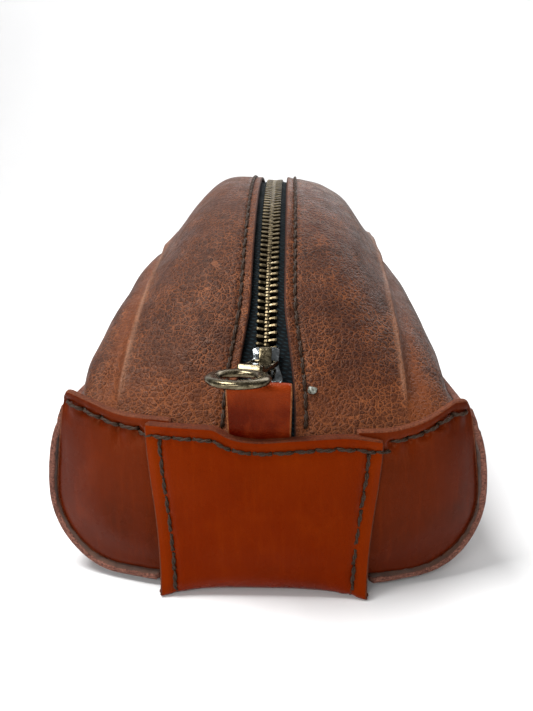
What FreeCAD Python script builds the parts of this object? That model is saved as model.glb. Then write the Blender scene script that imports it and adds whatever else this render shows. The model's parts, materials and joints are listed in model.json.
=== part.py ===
"""A zipped leather shaving kit bag, in millimetres.

The frame: +Z up, +Y from the end where the slider parks when the bag is shut (the near end) to
the far end, and the origin in the middle of the flat underside. The bag is a boat of smooth leather
(base wrap, four wings and a centre strap), with a pebbled leather panel on each side that rises
from it to a zip on an arched ridge. The zip lies on a circle about an axis along X, so its slider
travels by turning about that axis. The middle of each side panel swings out about the top of the
base wall to open the mouth.
"""

import FreeCAD
import Part
import math
import os

from FreeCAD import Vector

# ---- driving dimensions --------------------------------------------------------------------------
ZIP_RADIUS = 144.0            # the chain's middle plane lies on this circle
ZIP_TOP = 108.8               # height of that plane at the middle of the bag
CIRCLE_Z = ZIP_TOP - ZIP_RADIUS

PANEL_THICK = 1.5             # pebbled upper leather
SMOOTH_THICK = 2.0            # base wrap
WING_THICK = 1.8
STRAP_THICK = 2.1
CLEAR = 0.3                   # between pieces that move past each other

END_BOW = 0.00403             # how much the ends curve back: y shrinks by END_BOW * x^2
STRAP_FACE_Y = 126.8          # outer face of the centre strap at either end
STRAP_TOP_HALF = 31.2
STRAP_FLOOR_HALF = 27.5
STRAP_BEND = 7.0              # outer radius of its turn under the bag
LIP_Z = 44.8                  # height of the ends' top edge at the middle
LIP_LIFT = 7.5                # and how much higher it is at the corners
WING_FACE_Y = 124.5
WING_INNER_X = 22.0
WING_BEND = 4.0
FLANGE_FACE_Y = 127.3
FLANGE_BEHIND_STRAP_Y = 116.5
FLANGE_NOTCH_Z = 20.0
PANEL_END_Y = 122.2

BASE_HALF_WIDTH = 61.8
BASE_TOP_HALF_WIDTH = 59.3
BASE_SHOULDER = 0.3           # how far the wall has drawn in half way up
BASE_TOP_Z = 50.0
BASE_UNDER_Z = 2.3
BASE_CORNER_RADIUS = 21.0

SEAM_HALF_WIDTH = 57.0        # outer face of the panels where they tuck inside the base wall
SEAM_Z = 44.0
HINGE_X = 57.1
HINGE_Z = 50.6
MOUTH_HALF_LENGTH = 84.7
ENDS_FROM_Y = MOUTH_HALF_LENGTH + 2 * CLEAR
CROWN_POWER_X = 2.1           # a panel's section: (x/X)^CROWN_POWER_X + (z/Z)^(1/CROWN_POWER_Z) = 1
CROWN_POWER_Z = 0.87
LEAN_OVER = 12.0              # the panel's thickness starts to lean along Y over this length

WINDOW_HALF = 5.3             # zip window between the leather edges
WINDOW_END_HALF = 8.5
WINDOW_WIDENS_Y = 92.0        # the window widens from here on, over WINDOW_WIDENS_OVER
WINDOW_WIDENS_OVER = 28.0
PANEL_ABOVE_CHAIN = 1.9       # outer leather face above the chain's middle plane, at the zip

CHAIN_HALF = 3.03
TOOTH_PITCH = 2.5
TOOTH_LENGTH = 1.15
TOOTH_HALF_THICK = 1.0
TOOTH_NECK_X = 0.9            # where a tooth's head meets its body
TOOTH_OVERLAP = 0.7           # how far a tooth reaches past the centre line
TOOTH_HEAD_SHARE = 0.8        # thickness of the head beside the body's
TOOTH_ROUND = 0.25
TAPE_HIGH = -0.22             # the tape's faces, from the chain's middle plane
TAPE_LOW = -0.48
TAPE_INNER_X = 3.1
TAPE_OUTER_X = 14.0
TAPE_END_Y = 119.0

SLIDER_REST_DEG = -48.8       # angle on the zip circle, from the top
SLIDER_TRAVEL_DEG = 97.0
SLIDER_LENGTH = 11.5
SLIDER_HALF_NARROW = 4.0
SLIDER_HALF_WIDE = 4.9
SLIDER_PLATE = 1.2
SLIDER_GAP = 1.3              # from the chain's middle plane to a plate
SLIDER_RIM = 0.55
SLIDER_CORNER = 0.9
RIM_GAP = 0.6                 # from the chain's middle plane to a rim
POST_TIP_Y = -2.4             # the post that parts the teeth reaches to here
CROWN_HALF_WIDTH = 1.5
CROWN_HALF_LENGTH = 3.9
CROWN_LEG = 0.8
CROWN_TOP = 6.9
CROWN_ROUND = 1.2
LEAF_HALF_WIDTH = 0.4
LEAF_LOW = 5.3
LEAF_HIGH = 5.7
PIN_Y = 2.2
PIN_HALF = 0.25
PIN_TIP = 1.35
PIN_HOLE_CLEAR = 0.2
STOP_HALF = 0.8               # of a stop, along the chain
TOP_STOP_INNER_X = 1.4
TOP_STOP_AHEAD = 1.3          # from the parked slider to the middle of the top stops
BOTTOM_STOP_AHEAD = 2.9       # from the slider's far limit to the middle of the bottom stop
PIVOT_HEIGHT = 4.0            # the pull's pivot above the chain's middle plane

PULL_LENGTH = 21.6            # from the pivot to the centre of the ring
PULL_RING_RADIUS = 8.3
PULL_HOLE_RADIUS = 4.7
PULL_THICK = 2.2
PULL_EDGE_ROUND = 0.95
PULL_EYE_HALF = 2.8
PULL_EYE_LENGTH = 5.0
PULL_SHANK_HALF = 3.8
PULL_SHANK_THICK = 1.5
PULL_BAR_RADIUS = 0.72
PULL_RISE_DEG = 3.0           # above horizontal, at rest on the tab
PULL_YAW_DEG = 16.0           # the loose eye lets it lean to the left

TAB_HALF_WIDTH = 8.2
TAB_LEATHER = 1.6
TAB_CORE = 0.4
TAB_GAP = 0.15                # behind the strap
TAB_TOP_Z = 61.5
TAB_FOOT_Z = 34.0
TAB_BEND_Z = 45.0
TAB_TILT_DEG = 13.0

THREAD = 0.5                  # how far a seam's thread stands up
THREAD_HALF_WIDTH = 0.5
THREAD_GAP = 0.1
SEAM_INSET = 2.6              # from a leather edge to its row of stitches
STRAP_SEAM_INSET = 3.4
SIDE_SEAM_OUT = 1.1           # the leaning wall's face at the side seam, from its top edge
SIDE_SEAM_REACH = 100.0       # the side seam runs this far to either end

SECTION_STEPS = 401
OUT = "parts"
REACH = 150.0                 # cutting blocks reach past the bag: this far along Y,
WIDE = 70.0                   # this far along X,
UNDER = -5.0                  # and between these heights
ABOVE = 70.0
ORIGIN = Vector(0, 0, 0)
X_AXIS = Vector(1, 0, 0)
Z_AXIS = Vector(0, 0, 1)


# ---- small helpers -------------------------------------------------------------------------------
def save(name, shape):
    """Writes one node and prints what it holds."""
    solids = shape.Solids
    good = bool(solids) and all(s.isValid() and s.Volume > 0 for s in solids)
    print(f"{name:34s} solids {len(solids):3d} volume {shape.Volume:10.1f} {'ok' if good else 'BAD'}")
    shape.exportStep(os.path.join(OUT, name + ".step"))


def group(shapes):
    return shapes[0] if len(shapes) == 1 else Part.makeCompound(shapes)


def mirror_x(shape):
    return shape.mirror(ORIGIN, X_AXIS)


def mirror_y(shape):
    return shape.mirror(ORIGIN, Vector(0, 1, 0))


def box(x0, x1, y0, y1, z0, z1):
    return Part.makeBox(x1 - x0, y1 - y0, z1 - z0, Vector(x0, y0, z0))


def smooth(t):
    t = min(1.0, max(0.0, t))
    return t * t * (3 - 2 * t)


def spread(low, high, count):
    return [low + (high - low) * i / (count - 1) for i in range(count)]


def sheet(outer, inner):
    """A solid between two grids of points: two smooth faces joined by four ruled edges."""
    faces, edges = [], []
    for grid in (outer, inner):
        surface = Part.BSplineSurface()
        surface.interpolate(grid)
        u0, u1, v0, v1 = surface.bounds()
        faces.append(surface.toShape())
        sides = (surface.uIso(u0), surface.uIso(u1), surface.vIso(v0), surface.vIso(v1))
        edges.append([side.toShape() for side in sides])
    for a, b in zip(*edges):
        faces.append(Part.makeRuledSurface(a, b))
    shell = Part.makeCompound(faces)
    shell.sewShape()
    solid = Part.makeSolid(shell.Shells[0])
    if solid.Volume < 0:
        solid.reverse()
    return solid


# ---- the shape of the upper panels ---------------------------------------------------------------
def ridge_z(y, radius):
    """Height of the arched ridge over y, on the circle of this radius about the zip's axis."""
    return CIRCLE_Z + math.sqrt(radius * radius - y * y)


def window_half(y):
    """Half the width of the zip window, which widens towards the tabs."""
    share = smooth((abs(y) - WINDOW_WIDENS_Y) / WINDOW_WIDENS_OVER)
    return WINDOW_HALF + (WINDOW_END_HALF - WINDOW_HALF) * share


def drop(x, y):
    """How far a panel's section has fallen below the ridge at x."""
    edge = window_half(y)
    height = ridge_z(y, ZIP_RADIUS + PANEL_ABOVE_CHAIN) - SEAM_Z
    share = min(1.0, max(0.0, (x - edge) / (SEAM_HALF_WIDTH - edge)))
    return height * (1 - (1 - share**CROWN_POWER_X) ** CROWN_POWER_Z)


def section(y, count, lowest=None):
    """Evenly spaced (x, z) points down a panel's outer face at y, from the zip window to `lowest`."""
    edge, top = window_half(y), ridge_z(y, ZIP_RADIUS + PANEL_ABOVE_CHAIN)
    dense = []
    for a in spread(0, math.pi / 2, SECTION_STEPS):
        share = math.sin(a) ** (2 / CROWN_POWER_X)
        z = SEAM_Z + (top - SEAM_Z) * math.cos(a) ** (2 * CROWN_POWER_Z)
        if lowest is not None and z < lowest:
            break
        dense.append((edge + (SEAM_HALF_WIDTH - edge) * share, z))
    along = [0.0]
    for (xa, za), (xb, zb) in zip(dense, dense[1:]):
        along.append(along[-1] + math.hypot(xb - xa, zb - za))
    found, k = [], 0
    for want in spread(0, along[-1], count):
        while k < len(along) - 2 and along[k + 1] < want:
            k += 1
        t = (want - along[k]) / (along[k + 1] - along[k])
        found.append(tuple(a + (b - a) * t for a, b in zip(dense[k], dense[k + 1])))
    return found


def bowed(x, y):
    """The y of a panel point: straight across the mouth, and bowed like the end seam at the ends."""
    bow = END_BOW * x * x * smooth((abs(y) - ENDS_FROM_Y) / (PANEL_END_Y - ENDS_FROM_Y))
    return math.copysign(abs(y) - bow, y)


def panel_grid(stations, count, lowest=None):
    """Outer points of the right panel at each station y, and the unit normals there, which lie in
    the section's plane over the mouth and lean along Y towards the ends."""
    rows = [[Vector(x, bowed(x, y), z) for x, z in section(y, count, lowest)] for y in stations]
    normals = []
    for i, row in enumerate(rows):
        before, after = rows[max(i - 1, 0)], rows[min(i + 1, len(rows) - 1)]
        share = smooth((abs(stations[i]) - ENDS_FROM_Y) / LEAN_OVER)
        line = []
        for j in range(count):
            down = row[min(j + 1, count - 1)] - row[max(j - 1, 0)]
            n = down.cross(after[j] - before[j])
            if n.z * row[j].z + n.x * row[j].x < 0:
                n = n * -1
            line.append(Vector(n.x, n.y * share, n.z).normalize())
        normals.append(line)
    return rows, normals


def offset(rows, normals, distance):
    return [[p + n * distance for p, n in zip(*line)] for line in zip(rows, normals)]


def panel_piece(stations, count, lowest=None):
    rows, normals = panel_grid(stations, count, lowest)
    return sheet(rows, offset(rows, normals, -PANEL_THICK))


def strip_piece(stations, x_from, x_to, high, low, count=4):
    """A strip along the zip between two distances above the chain's middle plane, from x_from(y)
    to x_to(y), following the fall of the panel."""

    def grid(height):
        rows = []
        for y in stations:
            xs = spread(x_from(y), x_to(y), count)
            top = ridge_z(y, ZIP_RADIUS + height)
            rows.append([Vector(x, y, top - drop(x, y)) for x in xs])
        return rows

    return sheet(grid(high), grid(low))


# ---- the leather pieces --------------------------------------------------------------------------
def panel_mouth():
    return panel_piece(spread(-MOUTH_HALF_LENGTH, MOUTH_HALF_LENGTH, 9), 13, HINGE_Z + 2 * CLEAR)


def panel_ends():
    """The sewn ends of a panel, and its hem along the base wall."""
    far = panel_piece(spread(ENDS_FROM_Y, PANEL_END_Y, 7), 13)
    inner = SEAM_HALF_WIDTH - PANEL_THICK
    hem = box(inner, SEAM_HALF_WIDTH, -MOUTH_HALF_LENGTH, MOUTH_HALF_LENGTH, SEAM_Z, HINGE_Z - CLEAR)
    return [mirror_y(far), hem, far]


def base_outline(inset):
    """The base's U-shaped section, `inset` inside its outer face, from the right top to the left."""
    radius = BASE_CORNER_RADIUS - inset
    half = BASE_HALF_WIDTH - inset
    turn_z = BASE_UNDER_Z + BASE_CORNER_RADIUS
    across = radius * math.sqrt(0.5)
    top = Vector(BASE_TOP_HALF_WIDTH - inset, 0, BASE_TOP_Z)
    shoulder = Vector(half - BASE_SHOULDER, 0, (turn_z + BASE_TOP_Z) / 2)
    turn = Vector(half, 0, turn_z)
    corner = Vector(half - radius + across, 0, turn_z - across)
    flat = Vector(half - radius, 0, BASE_UNDER_Z + inset)

    def left(p):
        return Vector(-p.x, p.y, p.z)

    return [
        Part.Arc(top, shoulder, turn).toShape(),
        Part.Arc(turn, corner, flat).toShape(),
        Part.makeLine(flat, left(flat)),
        Part.Arc(left(flat), left(corner), left(turn)).toShape(),
        Part.Arc(left(turn), left(shoulder), left(top)).toShape(),
    ]


def outline_ends(edges):
    xs = [v.Point for e in edges for v in e.Vertexes]
    return max(xs, key=lambda p: p.x + p.z), max(xs, key=lambda p: p.z - p.x)


def prism_along_y(edges, length):
    """The face that these edges enclose in the XZ plane, run along Y about the middle of the bag."""
    face = Part.Face(Part.Wire(Part.__sortEdges__(edges)))
    prism = face.extrude(Vector(0, length, 0))
    prism.translate(Vector(0, -length / 2, 0))
    return prism


def band(outer_inset, inner_inset, length):
    """The U between two insets, run along Y."""
    a, b = base_outline(outer_inset), base_outline(inner_inset)
    (a_right, a_left), (b_right, b_left) = outline_ends(a), outline_ends(b)
    return prism_along_y([*a, *b, Part.makeLine(a_right, b_right), Part.makeLine(a_left, b_left)], length)


def inside_of_base(inset):
    """Everything within the U at this inset, over more than the whole length."""
    edges = base_outline(inset)
    return prism_along_y([*edges, Part.makeLine(*outline_ends(edges))], 2 * REACH)


def bow_curve(face_y, z):
    """The bowed line across the near end at this height, as an edge with its left and right ends."""
    points = [Vector(x, -face_y + END_BOW * x * x, z) for x in spread(-WIDE, WIDE, 15)]
    spline = Part.BSplineCurve()
    spline.interpolate(points)
    return spline.toShape(), points[0], points[-1]


def bowed_slab(front, back):
    """The space between two bowed upright faces at the near end, `front` and `back` in the middle."""
    (a, a0, a1), (b, b0, b1) = bow_curve(front, UNDER), bow_curve(back, UNDER)
    wire = Part.Wire([a, Part.makeLine(a1, b1), b, Part.makeLine(b0, a0)])
    return Part.Face(wire).extrude(Vector(0, 0, ABOVE - UNDER))


def boat(face_y, floor_z, radius):
    """A block with a bow at each end, whose bottom edges at the ends are rounded."""
    near, left, right = bow_curve(face_y, floor_z)
    far = mirror_y(near)
    sides = [Part.makeLine(p, Vector(p.x, -p.y, p.z)) for p in (left, right)]
    face = Part.Face(Part.Wire(Part.__sortEdges__([near, far, *sides])))
    block = face.extrude(Vector(0, 0, ABOVE - floor_z))
    low = [e for e in block.Edges if e.BoundBox.ZMax < floor_z + 0.01 and e.BoundBox.XLength > WIDE]
    return block.makeFillet(radius, low)


def base_wrap():
    """The boat's bottom and long walls. Its ends stand out past the wings as a flange, except
    behind the strap."""
    near = band(0, SMOOTH_THICK, 2 * REACH).common(bowed_slab(FLANGE_FACE_Y, 0))
    near = near.common(box(-WIDE, WIDE, -REACH, 0, UNDER, ABOVE))
    notch = STRAP_FLOOR_HALF + 1
    near = near.cut(box(-notch, notch, -REACH, -FLANGE_BEHIND_STRAP_Y, UNDER, FLANGE_NOTCH_Z))
    return near.fuse(mirror_y(near)).removeSplitter()


def lip_z(x):
    return LIP_Z + LIP_LIFT * (x / SEAM_HALF_WIDTH) ** 2


def lip_prism(low_drop, high_drop, x0, x1):
    """A prism along Y between the lip's curve lowered by two amounts, from x0 to x1."""

    def curve(down):
        points = [Vector(x, -REACH, lip_z(x) - down) for x in spread(x0, x1, 9)]
        spline = Part.BSplineCurve()
        spline.interpolate(points)
        return spline.toShape(), points[0], points[-1]

    (a, a0, a1), (b, b0, b1) = curve(low_drop), curve(high_drop)
    wire = Part.Wire([a, Part.makeLine(a1, b1), b, Part.makeLine(b0, a0)])
    return Part.Face(wire).extrude(Vector(0, 2 * REACH, 0))


def wing():
    """The near right wing: from under the strap out to the wall of the base, and up to the lip."""
    edge = BASE_TOP_HALF_WIDTH - SMOOTH_THICK - CLEAR
    slab = bowed_slab(WING_FACE_Y, WING_FACE_Y - WING_THICK)
    low = slab.common(inside_of_base(SMOOTH_THICK + THREAD_GAP))
    low = low.common(box(WING_INNER_X, WIDE, -REACH, 0, 0, LIP_Z - 2))
    upper = slab.common(lip_prism(0, 12, WING_INNER_X, edge))
    return low.fuse(upper).removeSplitter()


def strap_taper(inset, width=None):
    """The strap's outline from the front, run along Y: wide at the lip, narrower at the floor.
    With a width, it is the two stripes of that width just inside the inset."""

    def outline(by):
        top, floor = STRAP_TOP_HALF - by, STRAP_FLOOR_HALF - by
        corners = [(-top, ABOVE), (-top, LIP_Z), (-floor, STRAP_BEND), (-floor, UNDER)]
        points = [Vector(x, -REACH, z) for x, z in corners]
        points += [Vector(-p.x, p.y, p.z) for p in reversed(points)]
        return Part.Face(Part.makePolygon([*points, points[0]])).extrude(Vector(0, 2 * REACH, 0))

    whole = outline(inset)
    return whole if width is None else whole.cut(outline(inset + width))


def centre_strap():
    """One long strip from the near lip, under the bag, to the far lip."""
    outer = boat(STRAP_FACE_Y, 0, STRAP_BEND)
    inner = boat(STRAP_FACE_Y - STRAP_THICK, STRAP_THICK, STRAP_BEND - STRAP_THICK)
    shell = outer.cut(inner).common(strap_taper(0))
    return shell.common(lip_prism(0, 60, -STRAP_TOP_HALF - 1, STRAP_TOP_HALF + 1)).removeSplitter()


def zip_tab():
    """The near tab: a strip folded over on itself, which stands up behind the strap's lip and
    leans outward."""
    thick = 2 * TAB_LEATHER + TAB_CORE
    front = END_BOW * TAB_HALF_WIDTH**2 + TAB_GAP - (STRAP_FACE_Y - STRAP_THICK)
    middle = front + thick / 2
    fold_z = TAB_TOP_Z - thick / 2

    def loop(radius, foot_z):
        a, b = Vector(0, middle - radius, fold_z), Vector(0, middle + radius, fold_z)
        a_foot, b_foot = Vector(0, a.y, foot_z), Vector(0, b.y, foot_z)
        fold = Part.Arc(a, Vector(0, middle, fold_z + radius), b).toShape()
        sides = [Part.makeLine(b, b_foot), Part.makeLine(b_foot, a_foot), Part.makeLine(a_foot, a)]
        return Part.Face(Part.Wire([fold, *sides]))

    face = loop(thick / 2, TAB_BEND_Z).cut(loop(TAB_CORE / 2, TAB_BEND_Z - 1))
    standing = face.extrude(Vector(2 * TAB_HALF_WIDTH, 0, 0))
    standing.translate(Vector(-TAB_HALF_WIDTH, 0, 0))
    standing.rotate(Vector(0, front + thick, TAB_BEND_Z), X_AXIS, TAB_TILT_DEG)
    foot = box(-TAB_HALF_WIDTH, TAB_HALF_WIDTH, front, front + thick, TAB_FOOT_Z, TAB_BEND_Z)
    core_y = front + TAB_LEATHER
    core = box(-WIDE, WIDE, core_y, core_y + TAB_CORE, TAB_FOOT_Z - 1, TAB_BEND_Z + 1)
    return standing.fuse(foot.cut(core)).removeSplitter()


# ---- the zip -------------------------------------------------------------------------------------
def on_arc(shape, degrees):
    """Moves a shape made at the origin (Y along the chain, Z outward) to an angle on the zip circle."""
    shape = shape.copy()
    shape.rotate(ORIGIN, X_AXIS, -degrees)
    a = math.radians(degrees)
    shape.translate(Vector(0, ZIP_RADIUS * math.sin(a), CIRCLE_Z + ZIP_RADIUS * math.cos(a)))
    return shape


def arc_degrees(y):
    return math.degrees(math.asin(y / ZIP_RADIUS))


def tooth():
    """A right-hand tooth: a body that grips the tape's edge, and a thinner head that reaches
    between two others."""
    half, thick = TOOTH_LENGTH / 2, TOOTH_HALF_THICK
    neck = box(TOOTH_NECK_X, CHAIN_HALF, -half, half, -thick, thick)
    thin = TOOTH_HEAD_SHARE * thick
    head = box(-TOOTH_OVERLAP, TOOTH_NECK_X, -half, half, -thin, thin)
    solid = neck.fuse(head).removeSplitter()
    outer = [e for e in solid.Edges if e.BoundBox.XMin > CHAIN_HALF - 0.01 and e.BoundBox.YLength > 1]
    return solid.makeFillet(TOOTH_ROUND, outer)


def along_zip(length):
    """The angle on the zip circle that a length along the chain turns through."""
    return math.degrees(length / ZIP_RADIUS)


def teeth(side):
    """The teeth of one side, as (those on the sewn ends, those over the mouth). The sides
    alternate, and the first tooth stands just past the parked slider's post."""
    one = tooth() if side > 0 else mirror_x(tooth())
    shift = 0.0 if side > 0 else TOOTH_PITCH / 2
    slider_at = math.radians(SLIDER_REST_DEG) * ZIP_RADIUS
    first = slider_at + POST_TIP_Y + TOOTH_LENGTH / 2 + THREAD_GAP
    far_stop = SLIDER_LENGTH / 2 + BOTTOM_STOP_AHEAD - STOP_HALF
    last = slider_at + math.radians(SLIDER_TRAVEL_DEG) * ZIP_RADIUS + far_stop - TOOTH_PITCH
    ends, mouth = [], []
    for i in range(int((last - first) / TOOTH_PITCH)):
        degrees = along_zip(first + shift + i * TOOTH_PITCH)
        y = ZIP_RADIUS * math.sin(math.radians(degrees))
        to_joint = abs(abs(y) - (MOUTH_HALF_LENGTH + ENDS_FROM_Y) / 2)
        if to_joint > TOOTH_PITCH / 2:
            (mouth if abs(y) < MOUTH_HALF_LENGTH else ends).append(on_arc(one, degrees))
    return ends, mouth


def tape_strip(low_y, high_y, count):
    def inner(y):
        return TAPE_INNER_X

    def outer(y):
        return TAPE_OUTER_X

    return strip_piece(spread(low_y, high_y, count), inner, outer, TAPE_HIGH, TAPE_LOW)


def seam_strip(low_y, high_y, count):
    """The row of stitches beside the zip window, as a ribbon just above the leather."""
    low = PANEL_ABOVE_CHAIN + THREAD_GAP

    def inner(y):
        return window_half(y) + SEAM_INSET - THREAD_HALF_WIDTH

    def outer(y):
        return window_half(y) + SEAM_INSET + THREAD_HALF_WIDTH

    return strip_piece(spread(low_y, high_y, count), inner, outer, low + THREAD, low)


def over_mouth(strip):
    return strip(-MOUTH_HALF_LENGTH, MOUTH_HALF_LENGTH, 13)


def over_ends(strip, end_y):
    far = strip(ENDS_FROM_Y, end_y, 7)
    return [mirror_y(far), far]


def top_stops():
    """One stop on each tape, just ahead of the parked slider."""
    at = SLIDER_REST_DEG - along_zip(SLIDER_LENGTH / 2 + TOP_STOP_AHEAD)
    thick = TOOTH_HALF_THICK
    stop = box(TOP_STOP_INNER_X, CHAIN_HALF, -STOP_HALF, STOP_HALF, -thick, thick)
    right = on_arc(stop, at)
    return [right, mirror_x(right)]


def bottom_stop():
    """One stop across both tapes, past the slider's far limit."""
    at = SLIDER_REST_DEG + SLIDER_TRAVEL_DEG + along_zip(SLIDER_LENGTH / 2 + BOTTOM_STOP_AHEAD)
    thick = TOOTH_HALF_THICK
    return on_arc(box(-CHAIN_HALF, CHAIN_HALF, -STOP_HALF, STOP_HALF, -thick, thick), at)


# ---- the slider and its pull ---------------------------------------------------------------------
def mirrored_prism(points, low, high):
    """A prism between two heights: these (x, y) points and their mirror images."""
    loop = [Vector(x, y, low) for x, y in points]
    loop += [Vector(-x, y, low) for x, y in reversed(points) if x > 0]
    return Part.Face(Part.makePolygon([*loop, loop[0]])).extrude(Vector(0, 0, high - low))


def slider_plate(low, high):
    """A plate that is narrow at its far end and flares to the mouth, with cut corners."""
    half, wide, narrow = SLIDER_LENGTH / 2, SLIDER_HALF_WIDE, SLIDER_HALF_NARROW
    outline = [
        (narrow - SLIDER_CORNER, half),
        (narrow, half - SLIDER_CORNER),
        (narrow, 0),
        (wide, 2 * SLIDER_CORNER - half),
        (wide - SLIDER_CORNER, SLIDER_CORNER / 2 - half),
        (wide / 2, -half),
    ]
    return mirrored_prism(outline, low, high)


def slider_rims(low, high):
    """The rims along both edges of a plate, which keep the teeth in."""
    inner = slider_plate(low - 1, high + 1)
    scale = FreeCAD.Matrix()
    past_the_ends = 1.2
    scale.scale(1 - SLIDER_RIM / SLIDER_HALF_NARROW, past_the_ends, 1)
    return slider_plate(low, high).cut(inner.transformGeometry(scale))


def slider_body():
    """Two plates joined by the post that parts the teeth, with a hole in the top one for the tip of
    the lock pin."""
    gap, plate, half = SLIDER_GAP, SLIDER_PLATE, SLIDER_LENGTH / 2
    plates = [slider_plate(gap, gap + plate), slider_plate(-gap - plate, -gap)]
    rims = [slider_rims(RIM_GAP, gap), slider_rims(-gap, -RIM_GAP)]
    post = mirrored_prism([(0, POST_TIP_Y), (1.3, 1.6 - half), (0.9, 0.4 - half)], -gap, gap)
    wide, long = LEAF_HALF_WIDTH + PIN_HOLE_CLEAR, PIN_HALF + PIN_HOLE_CLEAR
    pin_hole = box(-wide, wide, PIN_Y - long, PIN_Y + long, gap - 1, gap + plate + 1)
    return post.multiFuse([*plates, *rims]).cut(pin_hole).removeSplitter()


def slider_crown():
    """The cap over the top plate that the pull's eye hangs on."""
    foot = SLIDER_GAP + SLIDER_PLATE
    block = box(-CROWN_HALF_WIDTH, CROWN_HALF_WIDTH, -CROWN_HALF_LENGTH, CROWN_HALF_LENGTH, foot, CROWN_TOP)
    ends = [e for e in block.Edges if e.BoundBox.ZMin > CROWN_TOP - 0.1 and e.BoundBox.XLength > 1]
    reach = CROWN_HALF_LENGTH - CROWN_LEG
    room = box(-WIDE, WIDE, -reach, reach, foot - 1, CROWN_TOP - CROWN_LEG)
    return block.makeFillet(CROWN_ROUND, ends).cut(room)


def slider_lock_pin():
    """The leaf under the crown whose tip drops through the top plate between the teeth."""
    wide, end = LEAF_HALF_WIDTH, PIN_Y + PIN_HALF
    leaf = box(-wide, wide, -end, end, LEAF_LOW, LEAF_HIGH)
    tip = box(-wide, wide, PIN_Y - PIN_HALF, end, PIN_TIP, LEAF_HIGH)
    return leaf.fuse(tip).removeSplitter()


def pull_pivot():
    a = math.radians(SLIDER_REST_DEG)
    r = ZIP_RADIUS + PIVOT_HEIGHT
    return Vector(0, r * math.sin(a), CIRCLE_Z + r * math.cos(a))


def zip_pull():
    """A round ring on a short shank, whose rectangular eye hangs on the crown by a round bar."""
    half, shank_half = PULL_THICK / 2, PULL_SHANK_HALF
    ring = Part.makeCylinder(PULL_RING_RADIUS, PULL_THICK, Vector(0, -PULL_LENGTH, -half))
    rims = [e for e in ring.Edges if e.Length > PULL_RING_RADIUS and e.BoundBox.ZLength < 0.01]
    hole = Part.makeCylinder(PULL_HOLE_RADIUS, PULL_THICK + 2, Vector(0, -PULL_LENGTH, -half - 1))
    shank_end = -PULL_LENGTH + PULL_HOLE_RADIUS + 1.5
    shank = box(-shank_half, shank_half, shank_end, 0, -PULL_SHANK_THICK / 2, PULL_SHANK_THICK / 2)
    eye = box(-PULL_EYE_HALF, PULL_EYE_HALF, -PULL_EYE_LENGTH, 2, -2, 2)
    bar = Part.makeCylinder(PULL_BAR_RADIUS, 2 * shank_half, Vector(-shank_half, 0, 0), X_AXIS)
    pull = ring.makeFillet(PULL_EDGE_ROUND, rims).fuse(shank.cut(eye)).cut(hole).fuse(bar).removeSplitter()
    pull.rotate(ORIGIN, X_AXIS, -PULL_RISE_DEG)
    pull.rotate(ORIGIN, Z_AXIS, -PULL_YAW_DEG)
    pull.translate(pull_pivot())
    return pull


# ---- threads -------------------------------------------------------------------------------------
def thread_slab(face_y):
    return bowed_slab(face_y + THREAD_GAP + THREAD, face_y + THREAD_GAP)


def end_seam_thread():
    """The near end's top row of stitches, over both wings and the strap."""
    low, high = SEAM_INSET + THREAD_HALF_WIDTH, SEAM_INSET - THREAD_HALF_WIDTH
    over_wing = lip_prism(low, high, STRAP_TOP_HALF + CLEAR, SEAM_HALF_WIDTH - 1)
    over_strap = lip_prism(low, high, 1 - STRAP_TOP_HALF, STRAP_TOP_HALF - 1)
    right = thread_slab(WING_FACE_Y).common(over_wing)
    middle = thread_slab(STRAP_FACE_Y).common(over_strap)
    return [mirror_x(right), middle, right]


def strap_thread():
    """The stitches down the strap's right edge, on the face of each end."""
    stripes = strap_taper(STRAP_SEAM_INSET - THREAD_HALF_WIDTH, 2 * THREAD_HALF_WIDTH)
    end_wall = box(0, WIDE, -REACH, 0, STRAP_BEND + 1, LIP_Z - SEAM_INSET - 2 * THREAD_HALF_WIDTH)
    near = thread_slab(STRAP_FACE_Y).common(stripes).common(end_wall)
    return [near, mirror_y(near)]


def side_seam_thread():
    """The stitches along the top of the base's right wall, through it and the panel's hem."""
    z = BASE_TOP_Z - SEAM_INSET
    x = BASE_TOP_HALF_WIDTH + SIDE_SEAM_OUT
    reach = SIDE_SEAM_REACH
    return box(x, x + THREAD, -reach, reach, z - THREAD_HALF_WIDTH, z + THREAD_HALF_WIDTH)


def flange_thread():
    """The stitches behind the near flange's raw edge, on the outside of the base."""
    row = WING_FACE_Y - WING_THICK / 2
    ring = band(-THREAD_GAP - THREAD, -THREAD_GAP, 2 * REACH)
    ring = ring.common(bowed_slab(row + THREAD_HALF_WIDTH, row - THREAD_HALF_WIDTH))
    right = ring.common(box(STRAP_TOP_HALF + 1, WIDE, -REACH, 0, 0, BASE_TOP_Z - 2 * SEAM_INSET))
    return [mirror_x(right), right]


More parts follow.
